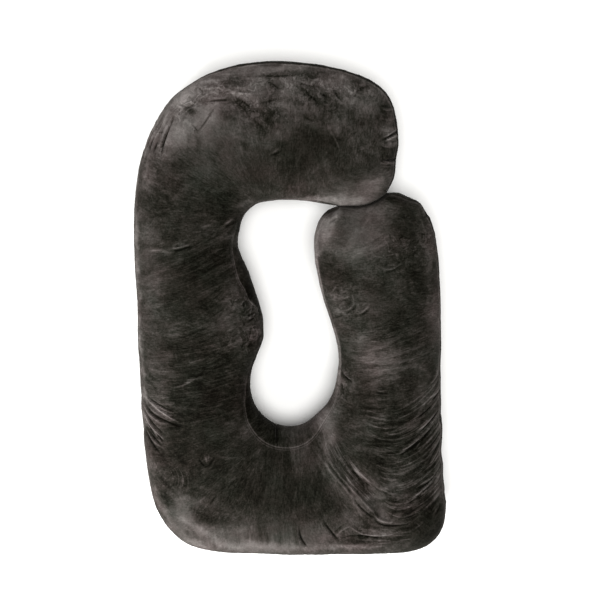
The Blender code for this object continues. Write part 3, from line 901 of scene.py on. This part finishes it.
# Brush marks thrown over a stretch: middle, half width, half height, how many, length, width, lean, tone
BRUSH_MARKS = (
    (215, 870, 80, 60, 18, 110, 12, 27, 0.35), (90, 930, 50, 40, 12, 70, 11, 3, 0.3),
    (140, 680, 110, 80, 28, 90, 11, 10, 0.3), (200, 480, 90, 90, 24, 100, 12, 8, 0.2),
    (90, 500, 60, 50, 14, 60, 10, -5, 0.3), (220, 290, 90, 70, 18, 80, 13, 40, 0.28),
    (400, 270, 120, 90, 28, 80, 12, 85, 0.28), (340, 90, 200, 30, 26, 40, 10, 85, 0.3),
    (560, 290, 60, 70, 22, 110, 9, -57, 0.4), (500, 330, 40, 60, 12, 80, 11, 100, 0.3),
    (660, 400, 70, 80, 30, 60, 9, 3, 0.4), (790, 330, 60, 150, 34, 70, 9, 42, 0.4),
    (780, 140, 70, 60, 14, 60, 10, 45, 0.28), (720, 200, 60, 40, 14, 60, 9, 5, 0.4),
    (680, 100, 70, 30, 12, 60, 10, 10, 0.35), (680, 600, 90, 90, 32, 70, 10, 18, 0.35),
    (770, 800, 40, 130, 18, 60, 11, 85, 0.28), (620, 960, 110, 50, 16, 60, 12, 70, 0.2),
    (420, 1250, 150, 80, 34, 60, 13, -20, 0.3), (600, 1180, 90, 60, 18, 70, 12, -55, 0.3),
    (600, 1080, 120, 30, 16, 60, 11, 15, 0.22), (300, 1190, 110, 60, 26, 70, 10, 88, 0.18),
    (150, 1230, 60, 60, 24, 40, 9, 75, 0.3), (170, 1060, 110, 60, 20, 70, 13, -50, 0.26),
    (600, 840, 90, 60, 18, 60, 11, 20, 0.25), (250, 1310, 90, 40, 18, 50, 11, -10, 0.3),
    (120, 150, 60, 80, 14, 70, 11, -50, 0.22), (80, 800, 50, 90, 16, 50, 12, 30, 0.28),
)

# Brushed patches of the pile, partly its own uneven tone and partly painted light and shade, with painted
# highlights along the rims that face the lamps: middle, length, width, lean of the length, and tone from -1
# dark to 1 light
PATCHES = (
    # top left curve, with a painted highlight along its rim
    (104, 1254, 230, 56, 52, 0.95), (160, 1293, 60, 40, 30, 0.9), (170, 1260, 26, 20, 0, -1.0),
    (278, 1256, 60, 50, 0, -0.15), (308, 1171, 24, 14, -40, -0.8), (88, 1222, 150, 14, 58, 0.5),
    (160, 1306, 120, 16, 38, 0.5), (52, 1120, 80, 12, 80, 0.5), (220, 1255, 50, 60, 0, 0.3),
    (222, 1322, 90, 36, 20, 0.6), (294, 1304, 46, 30, 0, 0.5), (326, 1290, 46, 28, -35, 0.5),
    (345, 1362, 200, 22, 2, 0.6), (335, 1334, 40, 26, 0, 0.4), (300, 1278, 70, 16, -35, -0.15),
    (270, 1330, 60, 24, 0, -0.35), (384, 1318, 60, 20, -35, -0.3), (425, 1345, 150, 20, -3, -0.25),
    (430, 1322, 40, 24, 0, 0.35), (140, 1195, 110, 70, 60, 0.5), (215, 1195, 110, 90, 80, 0.3),
    (290, 1200, 120, 110, 85, 0.15), (355, 1235, 60, 80, 80, -0.35), (430, 1130, 80, 90, 60, -1.1),
    (395, 1160, 60, 40, 30, -0.4), (240, 1040, 150, 80, 0, -0.6), (90, 1040, 90, 60, 0, -0.35),
    (65, 1100, 60, 50, 70, 0.35), (150, 1090, 90, 70, 80, -0.35), (310, 1026, 50, 18, 30, 0.8),
    (165, 1010, 130, 60, 0, -0.55), (390, 1052, 90, 18, 0, 0.3), (330, 1080, 100, 50, 0, -0.2),
    # hook, with a painted highlight along its lower rim
    (500, 1190, 130, 60, -8, -0.95), (472, 1162, 100, 84, 20, -0.7), (480, 1350, 50, 26, 0, -0.5),
    (555, 1330, 70, 20, -35, 0.5), (598, 1328, 40, 24, -40, -0.45), (472, 1293, 54, 16, -40, -0.3),
    (515, 1281, 36, 22, -30, -0.2), (545, 1264, 36, 20, -40, -0.15), (538, 1302, 36, 16, -55, -0.2),
    (585, 1280, 70, 40, 0, 0.15), (615, 1236, 110, 34, 0, -0.6), (660, 1266, 30, 30, 0, -0.6),
    (680, 1190, 110, 30, 86, 0.6), (555, 1192, 80, 18, -70, 0.35), (485, 1112, 60, 20, 20, 0.35),
    (470, 1068, 150, 40, 4, 0.2), (612, 1068, 180, 56, 8, 0.46), (540, 1034, 210, 24, 0, 0.64),
    (640, 1105, 100, 50, 20, 0.35), (520, 1240, 60, 30, -30, -0.3), (420, 1215, 90, 50, 30, 0.1),
    (450, 1255, 90, 40, 0, 0.1), (585, 1190, 80, 50, -50, -0.1), (675, 1070, 50, 20, 55, 0.2),
    # long arm, with a painted highlight along its outer rim
    (18, 1075, 80, 18, 84, 1.0), (19, 1000, 60, 17, 88, 0.8), (17, 935, 80, 17, 88, 1.3),
    (19, 850, 80, 18, 89, 1.0), (17, 780, 60, 18, 89, 0.6), (19, 705, 80, 18, 89, 0.8),
    (21, 640, 60, 20, 88, 1.3), (20, 575, 70, 18, 88, 0.9), (22, 505, 60, 20, 88, 0.9),
    (22, 440, 60, 20, 88, 0.7),
    (60, 940, 70, 60, 0, 0.4), (110, 925, 110, 36, 8, 0.1), (140, 917, 60, 10, 8, 0.9),
    (90, 906, 90, 9, 0, 0.5), (190, 860, 160, 90, 10, -0.75), (230, 900, 120, 60, 15, -0.5),
    (250, 985, 100, 50, 20, -0.5), (262, 979, 26, 10, 40, 0.35), (212, 972, 36, 12, 12, 0.5),
    (200, 830, 150, 60, 10, -0.6), (90, 830, 80, 130, 0, 0.15), (50, 830, 60, 180, 0, 0.3),
    (284, 785, 80, 60, -60, 0.45), (275, 720, 60, 80, 0, 0.25), (180, 730, 120, 60, 0, -0.25),
    (322, 700, 120, 50, 85, 0.35), (90, 700, 120, 90, 0, 0.1), (170, 640, 200, 60, 5, -0.35),
    (80, 620, 90, 50, 0, 0.3), (100, 582, 90, 34, -15, 0.45), (160, 557, 70, 9, 27, 0.9),
    (230, 590, 170, 70, 20, -0.5), (220, 500, 190, 110, 0, -0.6),
    (70, 465, 110, 60, -40, 0.45), (45, 425, 90, 40, -55, 0.4), (120, 410, 80, 60, -20, -0.25),
    (170, 390, 130, 90, 0, -0.6), (290, 402, 60, 40, 50, 0.4), (260, 370, 120, 40, 0, -0.05),
    # foot, with a painted highlight along its lower rim
    (95, 345, 90, 40, 0, -0.6), (34, 310, 120, 26, -85, 0.3), (60, 180, 140, 34, -60, 0.9),
    (130, 86, 150, 32, -38, 0.8), (55, 245, 60, 50, -70, 0.4), (100, 280, 90, 60, 80, 0.15),
    (60, 290, 50, 60, 80, 0.15),
    (125, 195, 60, 110, 0, 0.65), (150, 128, 140, 56, -15, 0.7), (180, 217, 60, 26, 0, 0.55),
    (85, 212, 60, 34, -50, -0.5), (180, 180, 50, 34, 0, -0.6), (225, 155, 90, 36, -10, -0.4),
    (285, 125, 90, 46, 0, 0.45), (250, 76, 150, 50, 0, 0.4), (400, 60, 320, 44, -2, 0.35),
    (342, 125, 34, 80, 0, -0.35), (280, 200, 110, 70, 0, -0.1), (210, 275, 170, 80, 0, -0.55),
    (350, 270, 170, 130, 0, -0.45), (460, 230, 190, 130, 0, -0.7), (530, 210, 90, 60, 0, -0.6),
    (490, 110, 110, 70, 0, 0.2), (590, 62, 220, 22, 0, 0.5), (400, 170, 130, 60, 0, -0.3),
    # between the hollow and the corner
    (530, 400, 60, 90, 10, 0.9), (510, 325, 90, 40, -65, 0.15), (600, 250, 150, 50, -50, 0.05),
    (640, 205, 90, 50, -30, 0.3), (585, 175, 70, 40, -30, 0.25), (640, 145, 50, 34, 0, -0.5),
    (680, 118, 120, 26, 0, 0.4), (625, 88, 120, 30, 5, -0.6), (590, 340, 90, 60, 0, 0.05),
    (700, 258, 80, 26, 0, 0.55), (710, 200, 80, 26, 0, -0.5), (655, 178, 20, 16, 0, -1.0),
    # short arm, with a painted highlight along its outer rim
    (800, 150, 130, 120, 45, -0.75), (735, 455, 90, 90, 0, -0.6), (660, 330, 110, 100, 0, -0.4),
    (760, 498, 80, 34, 15, 0.35), (720, 295, 60, 26, 10, 0.25), (765, 360, 60, 40, 40, -0.4),
    (790, 300, 60, 120, -20, -0.1), (836, 300, 200, 20, 88, 0.3), (836, 225, 120, 30, 86, 0.45),
    (660, 600, 140, 100, 10, 0.55),
    (640, 672, 90, 50, 25, 0.2), (580, 640, 50, 30, 0, 0.05), (745, 700, 90, 120, 0, -0.7),
    (705, 520, 70, 110, 0, -0.6), (585, 588, 50, 40, 0, -0.4), (625, 520, 70, 50, 0, -0.3),
    (740, 575, 60, 30, 0, -0.5), (800, 600, 60, 110, 0, -0.35), (775, 730, 50, 70, 0, 0.15),
    (590, 740, 110, 80, 0, 0.15), (566, 540, 30, 70, 85, 0.6), (600, 450, 100, 80, 0, -0.1),
    (822, 560, 90, 16, 75, 0.4), (720, 975, 70, 90, 0, -0.9), (714, 1038, 80, 34, 0, -1.0),
    (700, 1052, 70, 36, 0, -1.3),
    (524, 966, 54, 84, -14, 0.8), (610, 945, 190, 130, 0, 0.5), (590, 905, 180, 46, -4, 0.14),
    (530, 912, 70, 40, 0, 0.3),
    (532, 850, 90, 76, 0, -0.5), (620, 830, 180, 100, 0, -0.1), (740, 870, 70, 90, 0, -0.7),
    (770, 940, 50, 60, 0, -0.1), (490, 870, 170, 20, 88, 0.9), (760, 800, 70, 130, 0, -0.4),
    (540, 990, 84, 26, 44, 0.75), (650, 1000, 60, 30, 0, 0.2), (790, 850, 180, 14, 89, 0.3),
)


def bowed(start, middle, end):
    """A line that bows from the start through the middle to the end."""
    turn = 2 * middle - (start + end) / 2
    t = np.linspace(0, 1, CREASE_POINTS)[:, None]
    return (1 - t) ** 2 * start + 2 * t * (1 - t) * turn + t ** 2 * end


def three_points(numbers):
    """The start, middle and end that six numbers of a table give."""
    return np.array(numbers, float).reshape(3, 2)


def crease_lines(random):
    """Every crease as a line in plan, with its width and depth."""
    lines = [(bowed(*three_points(points)), width, depth) for *points, width, depth in CREASES]
    for first, last, count, width, depth in CREASE_FAMILIES:
        for number in range(count):
            share = (number + random.uniform(-FAMILY_SHIFT, FAMILY_SHIFT)) / (count - 1)
            start, middle, end = three_points(np.array(first) * (1 - share) + np.array(last) * share)
            trim = random.uniform(0, FAMILY_TRIM, 2)
            start = start + (middle - start) * 2 * trim[0]
            end = end + (middle - end) * trim[1]
            bends = three_points(random.uniform(-FAMILY_BEND, FAMILY_BEND, 6))
            depth_here = depth * random.uniform(*FAMILY_DEPTHS) * random.choice(TWO_OF_THREE)
            width_here = width * random.uniform(*FAMILY_WIDTHS)
            lines.append((bowed(*(np.array((start, middle, end)) + bends)), width_here, depth_here))
    for x, y, wide, high, count, length, lean, width, depth in CRINKLES:
        for _ in range(count):
            middle = np.array((x, y)) + random.uniform(-1, 1, 2) * (wide, high)
            angle = math.radians(lean + random.normal(0, CRINKLE_TURN))
            ahead = np.array((math.cos(angle), math.sin(angle)))
            reach = 0.5 * length * random.uniform(*CRINKLE_LENGTHS) * ahead
            bend = random.uniform(-CRINKLE_BEND, CRINKLE_BEND, 2)
            depth_here = depth * random.uniform(*CRINKLE_DEPTHS) * random.choice(TWO_OF_THREE)
            lines.append((bowed(middle - reach, middle + bend, middle + reach), width, depth_here))
    return lines


def is_pressed(width, depth):
    """True for a crease that is pressed into the cover, and not only drawn on it."""
    return abs(depth) >= PRESSED_DEPTH and width >= PRESSED_WIDTH


def near_line(points, line, margin):
    """Numbers of the points inside the line's own box and a margin round it."""
    low, high = line.min(axis=0) - margin, line.max(axis=0) + margin
    return np.nonzero(((points[:, :2] > low) & (points[:, :2] < high)).all(axis=1))[0]


def crease_reach(points, lines):
    """True at the points that are near a crease that is pressed in."""
    near = np.zeros(len(points), bool)
    for line, width, depth in lines:
        if not is_pressed(width, depth):
            continue
        margin = 0.75 * width + 1
        inside = near_line(points, line, margin)
        if len(inside):
            gap, _, _ = distance_to(line, points[inside, :2])
            near[inside[gap < margin]] = True
    return near


def creased(points, lines):
    """What the creases do at each point: how far they press it in, in mm, and its painted shade, dark in a
    crease's trough and light on its shoulders.
    Then the nearest crease's distance, below 0 on its right, and its depth."""
    depth_in, shade, nearest_depth = (np.zeros(len(points)) for _ in range(3))
    nearest = np.full(len(points), CREASE_FAR)
    shoulder_place, shoulder_width, shoulder_height = SHOULDER
    for line, width, depth in lines:
        inside = near_line(points, line, width * 2.2)
        if not len(inside):
            continue
        gap, along, side = distance_to(line, points[inside, :2])
        total = np.linalg.norm(np.diff(line, axis=0), axis=1).sum()
        taper = np.sin(math.pi * np.clip(along / total, 0.02, 0.98)) ** CREASE_TAPER
        closer = gap < np.abs(nearest[inside])
        nearest[inside[closer]] = (gap * side)[closer]
        nearest_depth[inside[closer]] = (depth * taper * fade(gap, CREASE_FAR, CREASE_FULL))[closer]
        taper *= np.exp(-np.maximum(0, gap - width) / width)
        half = width * TROUGH
        trough = np.exp(-((gap / half) ** 2)) * taper
        shoulder = np.exp(-(((gap - shoulder_place * half) / (shoulder_width * half)) ** 2)) * taper
        if is_pressed(width, depth):
            depth_in[inside] += depth * (trough - shoulder_height * shoulder)
        strength = np.sign(depth) * min(1, abs(depth) / FULL_SHADE)
        shade[inside] += strength * (shoulder_height * shoulder - trough)
    return depth_in, shade, nearest, nearest_depth


def gathers(seam, along, gap, side, random):
    """Short gathers of the cloth across a seam: how far in each point is pressed, in mm."""
    places, widths, lengths, depths = [], [], [], []
    here = 0.0
    while here < seam.length:
        places.append(here)
        widths.append(random.uniform(*GATHER_WIDTHS))
        lengths.append(random.uniform(*GATHER_LENGTHS))
        depths.append(random.uniform(*GATHER_DEPTHS))
        here += random.uniform(*GATHER_STEPS)
    places, widths, lengths, depths = (np.array(values) for values in (places, widths, lengths, depths))
    pressed = np.zeros(len(along))
    after = np.searchsorted(places, along)
    for shift in (-1, 0):
        number = (after + shift) % len(places)
        across = np.abs(along - places[number])
        across = np.minimum(across, seam.length - across)
        reach = lengths[number] * np.where(side > 0, 1.0, GATHER_ON_STRIP)
        pressed += (depths[number] * np.exp(-((across / widths[number]) ** 2))
                    * np.exp(-((gap / reach) ** 1.5)))
    return pressed * np.exp(-((gap / GATHER_FADE) ** 2))


def brushed_at(tone, points, middle, length, width, lean, strength):
    """Adds one long soft mark of the brushed pile to the tone at the points."""
    reach = PATCH_REACH * max(length, width)
    inside = np.nonzero((np.abs(points - middle) < reach).all(axis=1))[0]
    angle = math.radians(lean)
    away = points[inside] - middle
    ahead = (away[:, 0] * math.cos(angle) + away[:, 1] * math.sin(angle)) / (0.5 * length)
    aside = (away[:, 1] * math.cos(angle) - away[:, 0] * math.sin(angle)) / (0.5 * width)
    tone[inside] += strength * np.exp(-((ahead ** 2 + aside ** 2) ** PATCH_EDGE))


def brushed(points, table):
    """The strength at each point of a table's patches."""
    strength = np.zeros(len(points))
    for x, y, length, width, lean, most in table:
        brushed_at(strength, points[:, :2], (x, y), length, width, lean, most)
    return strength


def pleat_line(numbers):
    """A pleat's start, the point that it bows towards, and its end."""
    line = three_points(numbers)
    line[1] = 2 * line[1] - (line[0] + line[2]) / 2
    return line


def place_in_pleats(here, first, last):
    """Each point's share of the way from the first pleat to the last, its share of the way along, and how
    far the search stayed off it, in mm."""
    share, run = np.full(len(here), 0.5), np.full(len(here), 0.5)
    for _ in range(PLEAT_ROUNDS):
        start, turn, end = [(1 - share)[:, None] * a + share[:, None] * b for a, b in zip(first, last)]
        t = run[:, None]
        reached = (1 - t) ** 2 * start + 2 * t * (1 - t) * turn + t ** 2 * end
        forward = 2 * (1 - t) * (turn - start) + 2 * t * (end - turn)
        aside = ((1 - t) ** 2 * (last[0] - first[0]) + 2 * t * (1 - t) * (last[1] - first[1])
                 + t ** 2 * (last[2] - first[2]))
        miss = here - reached
        area = aside[:, 0] * forward[:, 1] - aside[:, 1] * forward[:, 0]
        area = np.where(np.abs(area) < 1, 1, area)
        more_share = (miss[:, 0] * forward[:, 1] - miss[:, 1] * forward[:, 0]) / area
        more_run = (aside[:, 0] * miss[:, 1] - aside[:, 1] * miss[:, 0]) / area
        share = np.clip(share + more_share, *PLEAT_OVERSHOOT)
        run = np.clip(run + more_run, *PLEAT_OVERSHOOT)
    return share, run, np.linalg.norm(miss, axis=1)


def pleats(points):
    """At each point: the number of the pleat there, the place along it, and how strong the pleats are."""
    numbers, places, strengths = (np.zeros(len(points)) for _ in range(3))
    for first, last, count, strength in PLEATED:
        first, last = pleat_line(first), pleat_line(last)
        inside = near_line(points, np.vstack((first, last)), PLEAT_MARGIN)
        share, run, miss = place_in_pleats(points[inside, :2], first, last)
        found = (strength * fade(share, *FIRST_PLEAT) * fade(share, *LAST_PLEAT) * fade(run, *PLEAT_START)
                 * fade(run, *PLEAT_END))
        found[miss > PLEAT_MISS] = 0
        stronger = found > strengths[inside]
        chosen = inside[stronger]
        numbers[chosen] = share[stronger] * count
        places[chosen] = run[stronger] * np.linalg.norm(first[2] - first[0]) / PLEAT_STRETCH
        strengths[chosen] = found[stronger]
    return numbers, places, strengths


def closed_up(points):
    """The points with the two ends pressed together, so that hardly a gap is left between them."""
    line = smooth_line(CONTACT, CONTACT_STEP)
    near = np.nonzero((np.abs(points[:, :2] - line.mean(axis=0)) < CONTACT_AREA).all(axis=1))[0]
    tree = tree_of([(x, y, 0) for x, y in line])
    moved = points.copy()
    for number in near:
        x, y, _ = tree.find((*points[number, :2], 0))[0]
        away = points[number, :2] - (x, y)
        share = CONTACT_SHARE * math.exp(-((np.linalg.norm(away) / CONTACT_REACH) ** 2))
        moved[number, :2] -= share * away
    return moved


def filled_out(points):
    """The points with the fuller places of the outline standing out."""
    moved = points.copy()
    for x, y, out_x, out_y, reach in FULLER:
        away = ((points[:, :2] - (x, y)) ** 2).sum(axis=1) / reach ** 2
        moved[:, :2] += (np.exp(-away) * fade(points[:, 2], *FULLER_FROM))[:, None] * (out_x, out_y)
    return moved


def pile_and_painted_light_tone(points, strip, random):
    """Tone at each point, from -1 dark to 1 light: the brushed pile's own tone with the patches' painted light
    and shade, and the side strip's painted light and shade; strip is 1 on the side strip.
    """
    heights = points[:, 2]
    wander = sum(np.column_stack((bumpy(points, cell, seed), bumpy(points, cell, other_seed))) * far
                 for far, cell, seed, other_seed in WANDER)
    moved = points[:, :2] + wander
    calm = points[:, :2] + MARKS_WANDER * wander
    tone = brushed(moved, BROAD_PATCHES + PATCHES)
    marks = np.zeros(len(points))
    for x, y, wide, high, count, length, width, lean, strength in BRUSH_MARKS:
        for _ in range(count):
            middle = np.array((x, y)) + random.uniform(-1, 1, 2) * (wide, high)
            size = random.uniform(*MARK_SIZES)
            mark = strength * random.uniform(*MARK_TONES) * random.choice((-1, 1))
            brushed_at(marks, calm, middle, length * size, width * random.uniform(*MARK_WIDTHS),
                       lean + random.normal(0, MARK_TURN), mark)
    tone = (tone + marks * fade(heights, *MARKS_FROM)) * (1 - PLAIN_STRIP * strip)
    strip = strip * (LOW_STRIP + (1 - LOW_STRIP) * fade(heights, *STRIP_TONE_FROM))
    # painted light and shade on the side strip, by which way it faces the key lamp
    for x, y, reach, strength in STRIP_LIGHT_AND_SHADE:
        away = np.linalg.norm(moved - (x, y), axis=1) / reach
        tone += strength * strip * np.exp(-(away ** 2))
    darker, lighter = np.minimum(tone, 0), np.maximum(tone, 0)
    return DARKEST * np.tanh(darker / DARK_REACH) + np.minimum(lighter ** LIGHT_CURVE, 0.5 + 0.5 * lighter)


def keep(mesh, name, values):
    """Stores a number at each point for the materials to read."""
    layer = mesh.attributes.new(name, "FLOAT", "POINT")
    layer.data.foreach_set("value", values.astype(np.float32))


def refine(cover, lines, front, back):
    """Divides the cover on its crown, along the seams and along the pressed creases."""
    mesh = cover.data
    points = in_pattern(positions(mesh))
    divide(cover, (points[:, 2] > CROWN) | (back.nearest(points)[0] < BACK_SEAM_FINE))
    points = in_pattern(positions(mesh))
    near_crease = crease_reach(points, lines) & (points[:, 2] > CREASED_CROWN)
    divide(cover, (front.nearest(points)[0] < FRONT_SEAM_FINE) | near_crease)
    place(mesh, relaxed(positions(mesh), edges_of(mesh), *DIVIDED_SMOOTHING))


def sew(cover, node, solid):
    """Presses in the seams, gathers and creases, and stores what the plush is coloured by."""
    random = np.random.default_rng(SEED)
    lines = crease_lines(random)
    mesh = cover.data
    front, back = front_seam(node, solid), back_seam(node)
    refine(cover, lines, front, back)
    points, outward = in_pattern(positions(mesh)), normals(mesh)
    heights = points[:, 2]
    pressed, shade, crease_gap, crease_depth = creased(points, lines)
    upper = fade(heights, *CREASES_FROM) * fade(outward[:, 2], *FACING_UP)
    pressed *= upper
    shade *= upper
    for seam in (front, back):
        gap, along, side, set_in = seam.nearest(points)
        gathered = gathers(seam, along, gap, side, random)
        open_here = fade(set_in, *OPEN_SEAM)
        depth = SEAM_DEPTH + OPEN_SEAM_DEPTH * open_here
        pressed += depth * np.exp(-((gap / SEAM_WIDTH) ** 2)) + gathered
        if seam is front:
            shade_of_gathers, seam_gap = gathered, gap * side
            # painted highlight along the seam's ridge, full where the seam lies open
            stitch = FAINT_SEAM_HIGHLIGHT + (1 - FAINT_SEAM_HIGHLIGHT) * open_here
        else:
            nearer = gap < np.abs(seam_gap)
            seam_gap = np.where(nearer, gap * side, seam_gap)
            stitch = np.where(nearer, FAINT_SEAM_HIGHLIGHT, stitch)
    lumps = sum(high * bumpy(points, apart, seed) for high, apart, seed in LUMPS)
    pressed -= lumps * fade(heights, *LUMPS_FROM)
    pressed -= STRIP_SWELL * fade(heights, *STRIP_SWELL_FROM) * fade(heights, *STRIP_SWELL_UP_TO)
    pressed *= fade(heights, *REST_FROM)
    moved = positions(mesh) - outward * pressed[:, None] * MM
    moved[:, 2] = np.maximum(moved[:, 2], 0)
    pressed_close = filled_out(closed_up(in_pattern(moved))) * MM
    pressed_close[:, :2] += PATTERN_CORNER
    place(mesh, pressed_close)
    along, across = flow(points)
    pleat, pleat_run, pleat_depth = pleats(points)
    kept = {
        "along": along * MM,
        "across": across * MM,
        # the pile's own tone, with painted light and shade from its patches and on the side strip
        "pile": pile_and_painted_light_tone(points, fade(seam_gap, *STRIP_TONE_EDGE), random),
        # painted shade and light of the creases' folds, and painted shade in the gathers
        "fold": shade - GATHER_SHADE * shade_of_gathers,
        "seam": np.clip(seam_gap, -SEAM_REACH, SEAM_REACH),
        "stitch": stitch,
        "crease_gap": crease_gap,
        "crease_depth": crease_depth * upper,
        "pleat": pleat,
        "pleat_run": pleat_run,
        "pleat_depth": pleat_depth * upper,
        "crumple": brushed(points, CRUMPLED) * upper,
        "smooth": brushed(points, SMOOTH) * upper,
        "strip": fade(seam_gap, *STRIP_EDGE) * fade(heights, *STRIP_GATHERS_FROM),
    }
    for name, values in kept.items():
        keep(mesh, name, values)
    mesh.shade_smooth()


def line_at(value, level, narrow):
    """1 where the value is at the level, falling off to either side, the faster the narrower."""
    away = value - level
    return (away * away * -narrow).maths("EXPONENT")


def make_plush():
    """Crushed short-pile plush: dark warm grey, lighter wherever the pile lies towards the light, with painted
    light and shade in its colour: painted highlights along rims and seams, painted shade in creases, folds and
    gathers.
    """
    plush = Finish("plush", {"Roughness": 0.85, "Specular IOR Level": 0.03, "Sheen Weight": 0.03,
                             "Sheen Roughness": 0.45, "Sheen Tint": (0.95, 0.88, 0.8, 1)})
    place_here = plush.node("ShaderNodeTexCoord", output="Object")
    height = plush.node("ShaderNodeSeparateXYZ", None, {"Vector": place_here}, output="Z")
    along, across = plush.attribute("along"), plush.attribute("across")
    across_the_nap = plush.node("ShaderNodeCombineXYZ", None, {"X": along * 3.2, "Y": across, "Z": height})
    along_the_seam = plush.node("ShaderNodeCombineXYZ", None,
                                {"X": along, "Y": across * 0.3, "Z": height * 0.3})
    in_the_pleats = plush.node("ShaderNodeCombineXYZ", None,
                               {"X": plush.attribute("pleat"), "Y": plush.attribute("pleat_run"), "Z": 0.0})

    # drawn creases, and the stitches of the seams
    crease = plush.attribute("crease_depth") * line_at(plush.attribute("crease_gap"), 0, 0.16)
    seam = plush.attribute("seam")
    seam_line = plush.attribute("stitch") * (line_at(seam, 0, 0.3) + 0.6 * line_at(seam, 6, 0.4))

    # pleated and crumpled places, and the strip's gathers, each as bump and with painted shade in its troughs
    # and a painted highlight on its ridges
    pleat = plush.noise(in_the_pleats, 1.0, 2.0, 0.55, 0.3)
    pleat_mark = plush.attribute("pleat_depth") * (
        pleat * 0.42 + line_at(pleat, -0.02, 24) * -0.15 + line_at(pleat, 0.24, 40) * 0.13)
    crumple = plush.noise(place_here, 52.0, 3.0, 0.6, 1.0)
    crumple_mark = plush.attribute("crumple") * (
        crumple * 0.3 + line_at(crumple, 0.0, 34) * -0.2 + line_at(crumple, 0.17, 60) * 0.11)
    gathered = plush.noise(along_the_seam, 30.0, 3.0, 0.55, 0.8)
    patchy = plush.noise(place_here, 17.0, 3.0, 0.55, 1.2)
    gather_mark = plush.attribute("strip") * (
        gathered * 0.1 + line_at(gathered, 0.05, 40) * -0.05 + patchy * 0.2)

    # the pile, uneven at every scale, and less so where it lies smooth
    clouds = plush.noise(place_here, 12.0, 5.0, 0.62, 0.7)
    mottle = plush.noise(place_here, 48.0, 4.0, 0.66, 1.0)
    streaks = plush.noise(across_the_nap, 17.0, 4.0, 0.66, 0.5)
    strands = plush.noise(across_the_nap, 38.0, 2.0, 0.55, 0.8)
    hairs = plush.noise(across_the_nap, 85.0, 2.0, 0.6)
    grain = plush.noise(place_here, 230.0, 2.0, 0.6)
    rough = 1 - 0.55 * plush.attribute("smooth")
    uneven = (rough * (clouds * 0.23 + mottle * 0.14 + strands * 0.08 + line_at(strands, 0.0, 30) * -0.07)
              + (rough + 1) * (streaks * 0.057 + hairs * 0.072 + grain * 0.077))

    # the colour's tone: the pile's own with its painted light and shade, painted shade in creases and folds,
    # painted shade and highlight of pleats, crumples and gathers, and a painted highlight along the seams
    tone = (plush.attribute("pile") * 0.36 + plush.attribute("fold") * 0.08 + uneven - crease * 0.105
            + pleat_mark + crumple_mark + gather_mark + seam_line * 0.28 + BASE_TONE)
    colour = plush.node("ShaderNodeValToRGB", {"stops": PLUSH_TONES}, {"Fac": tone})
    warmth = plush.noise(place_here, 9.0, 4.0, 0.65) * (1.5 - tone * 1.4)
    plush.feed("Base Color", plush.tinted(colour, warmth))
    relief = (mottle * 0.5 + streaks * 0.3 + hairs * 0.3 + grain * 0.2 - crease * 0.7 + seam_line * 0.5
              + pleat_mark * 4 + crumple_mark * 4 + gather_mark * 2)
    bump = plush.node("ShaderNodeBump", None, {"Strength": 0.7, "Distance": 0.001, "Height": relief})
    plush.feed("Normal", bump)
    return plush.material


def build():
    """The whole scene."""
    make_camera()
    make_studio()
    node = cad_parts["pillow"]
    cover, solid = swell(node)
    sew(cover, node, solid)
    cover.data.materials.clear()
    cover.data.materials.append(make_plush())
    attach(cover, "root")
    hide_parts("pillow")
    print("triangles", sum(len(face.vertices) - 2 for face in cover.data.polygons))


build()
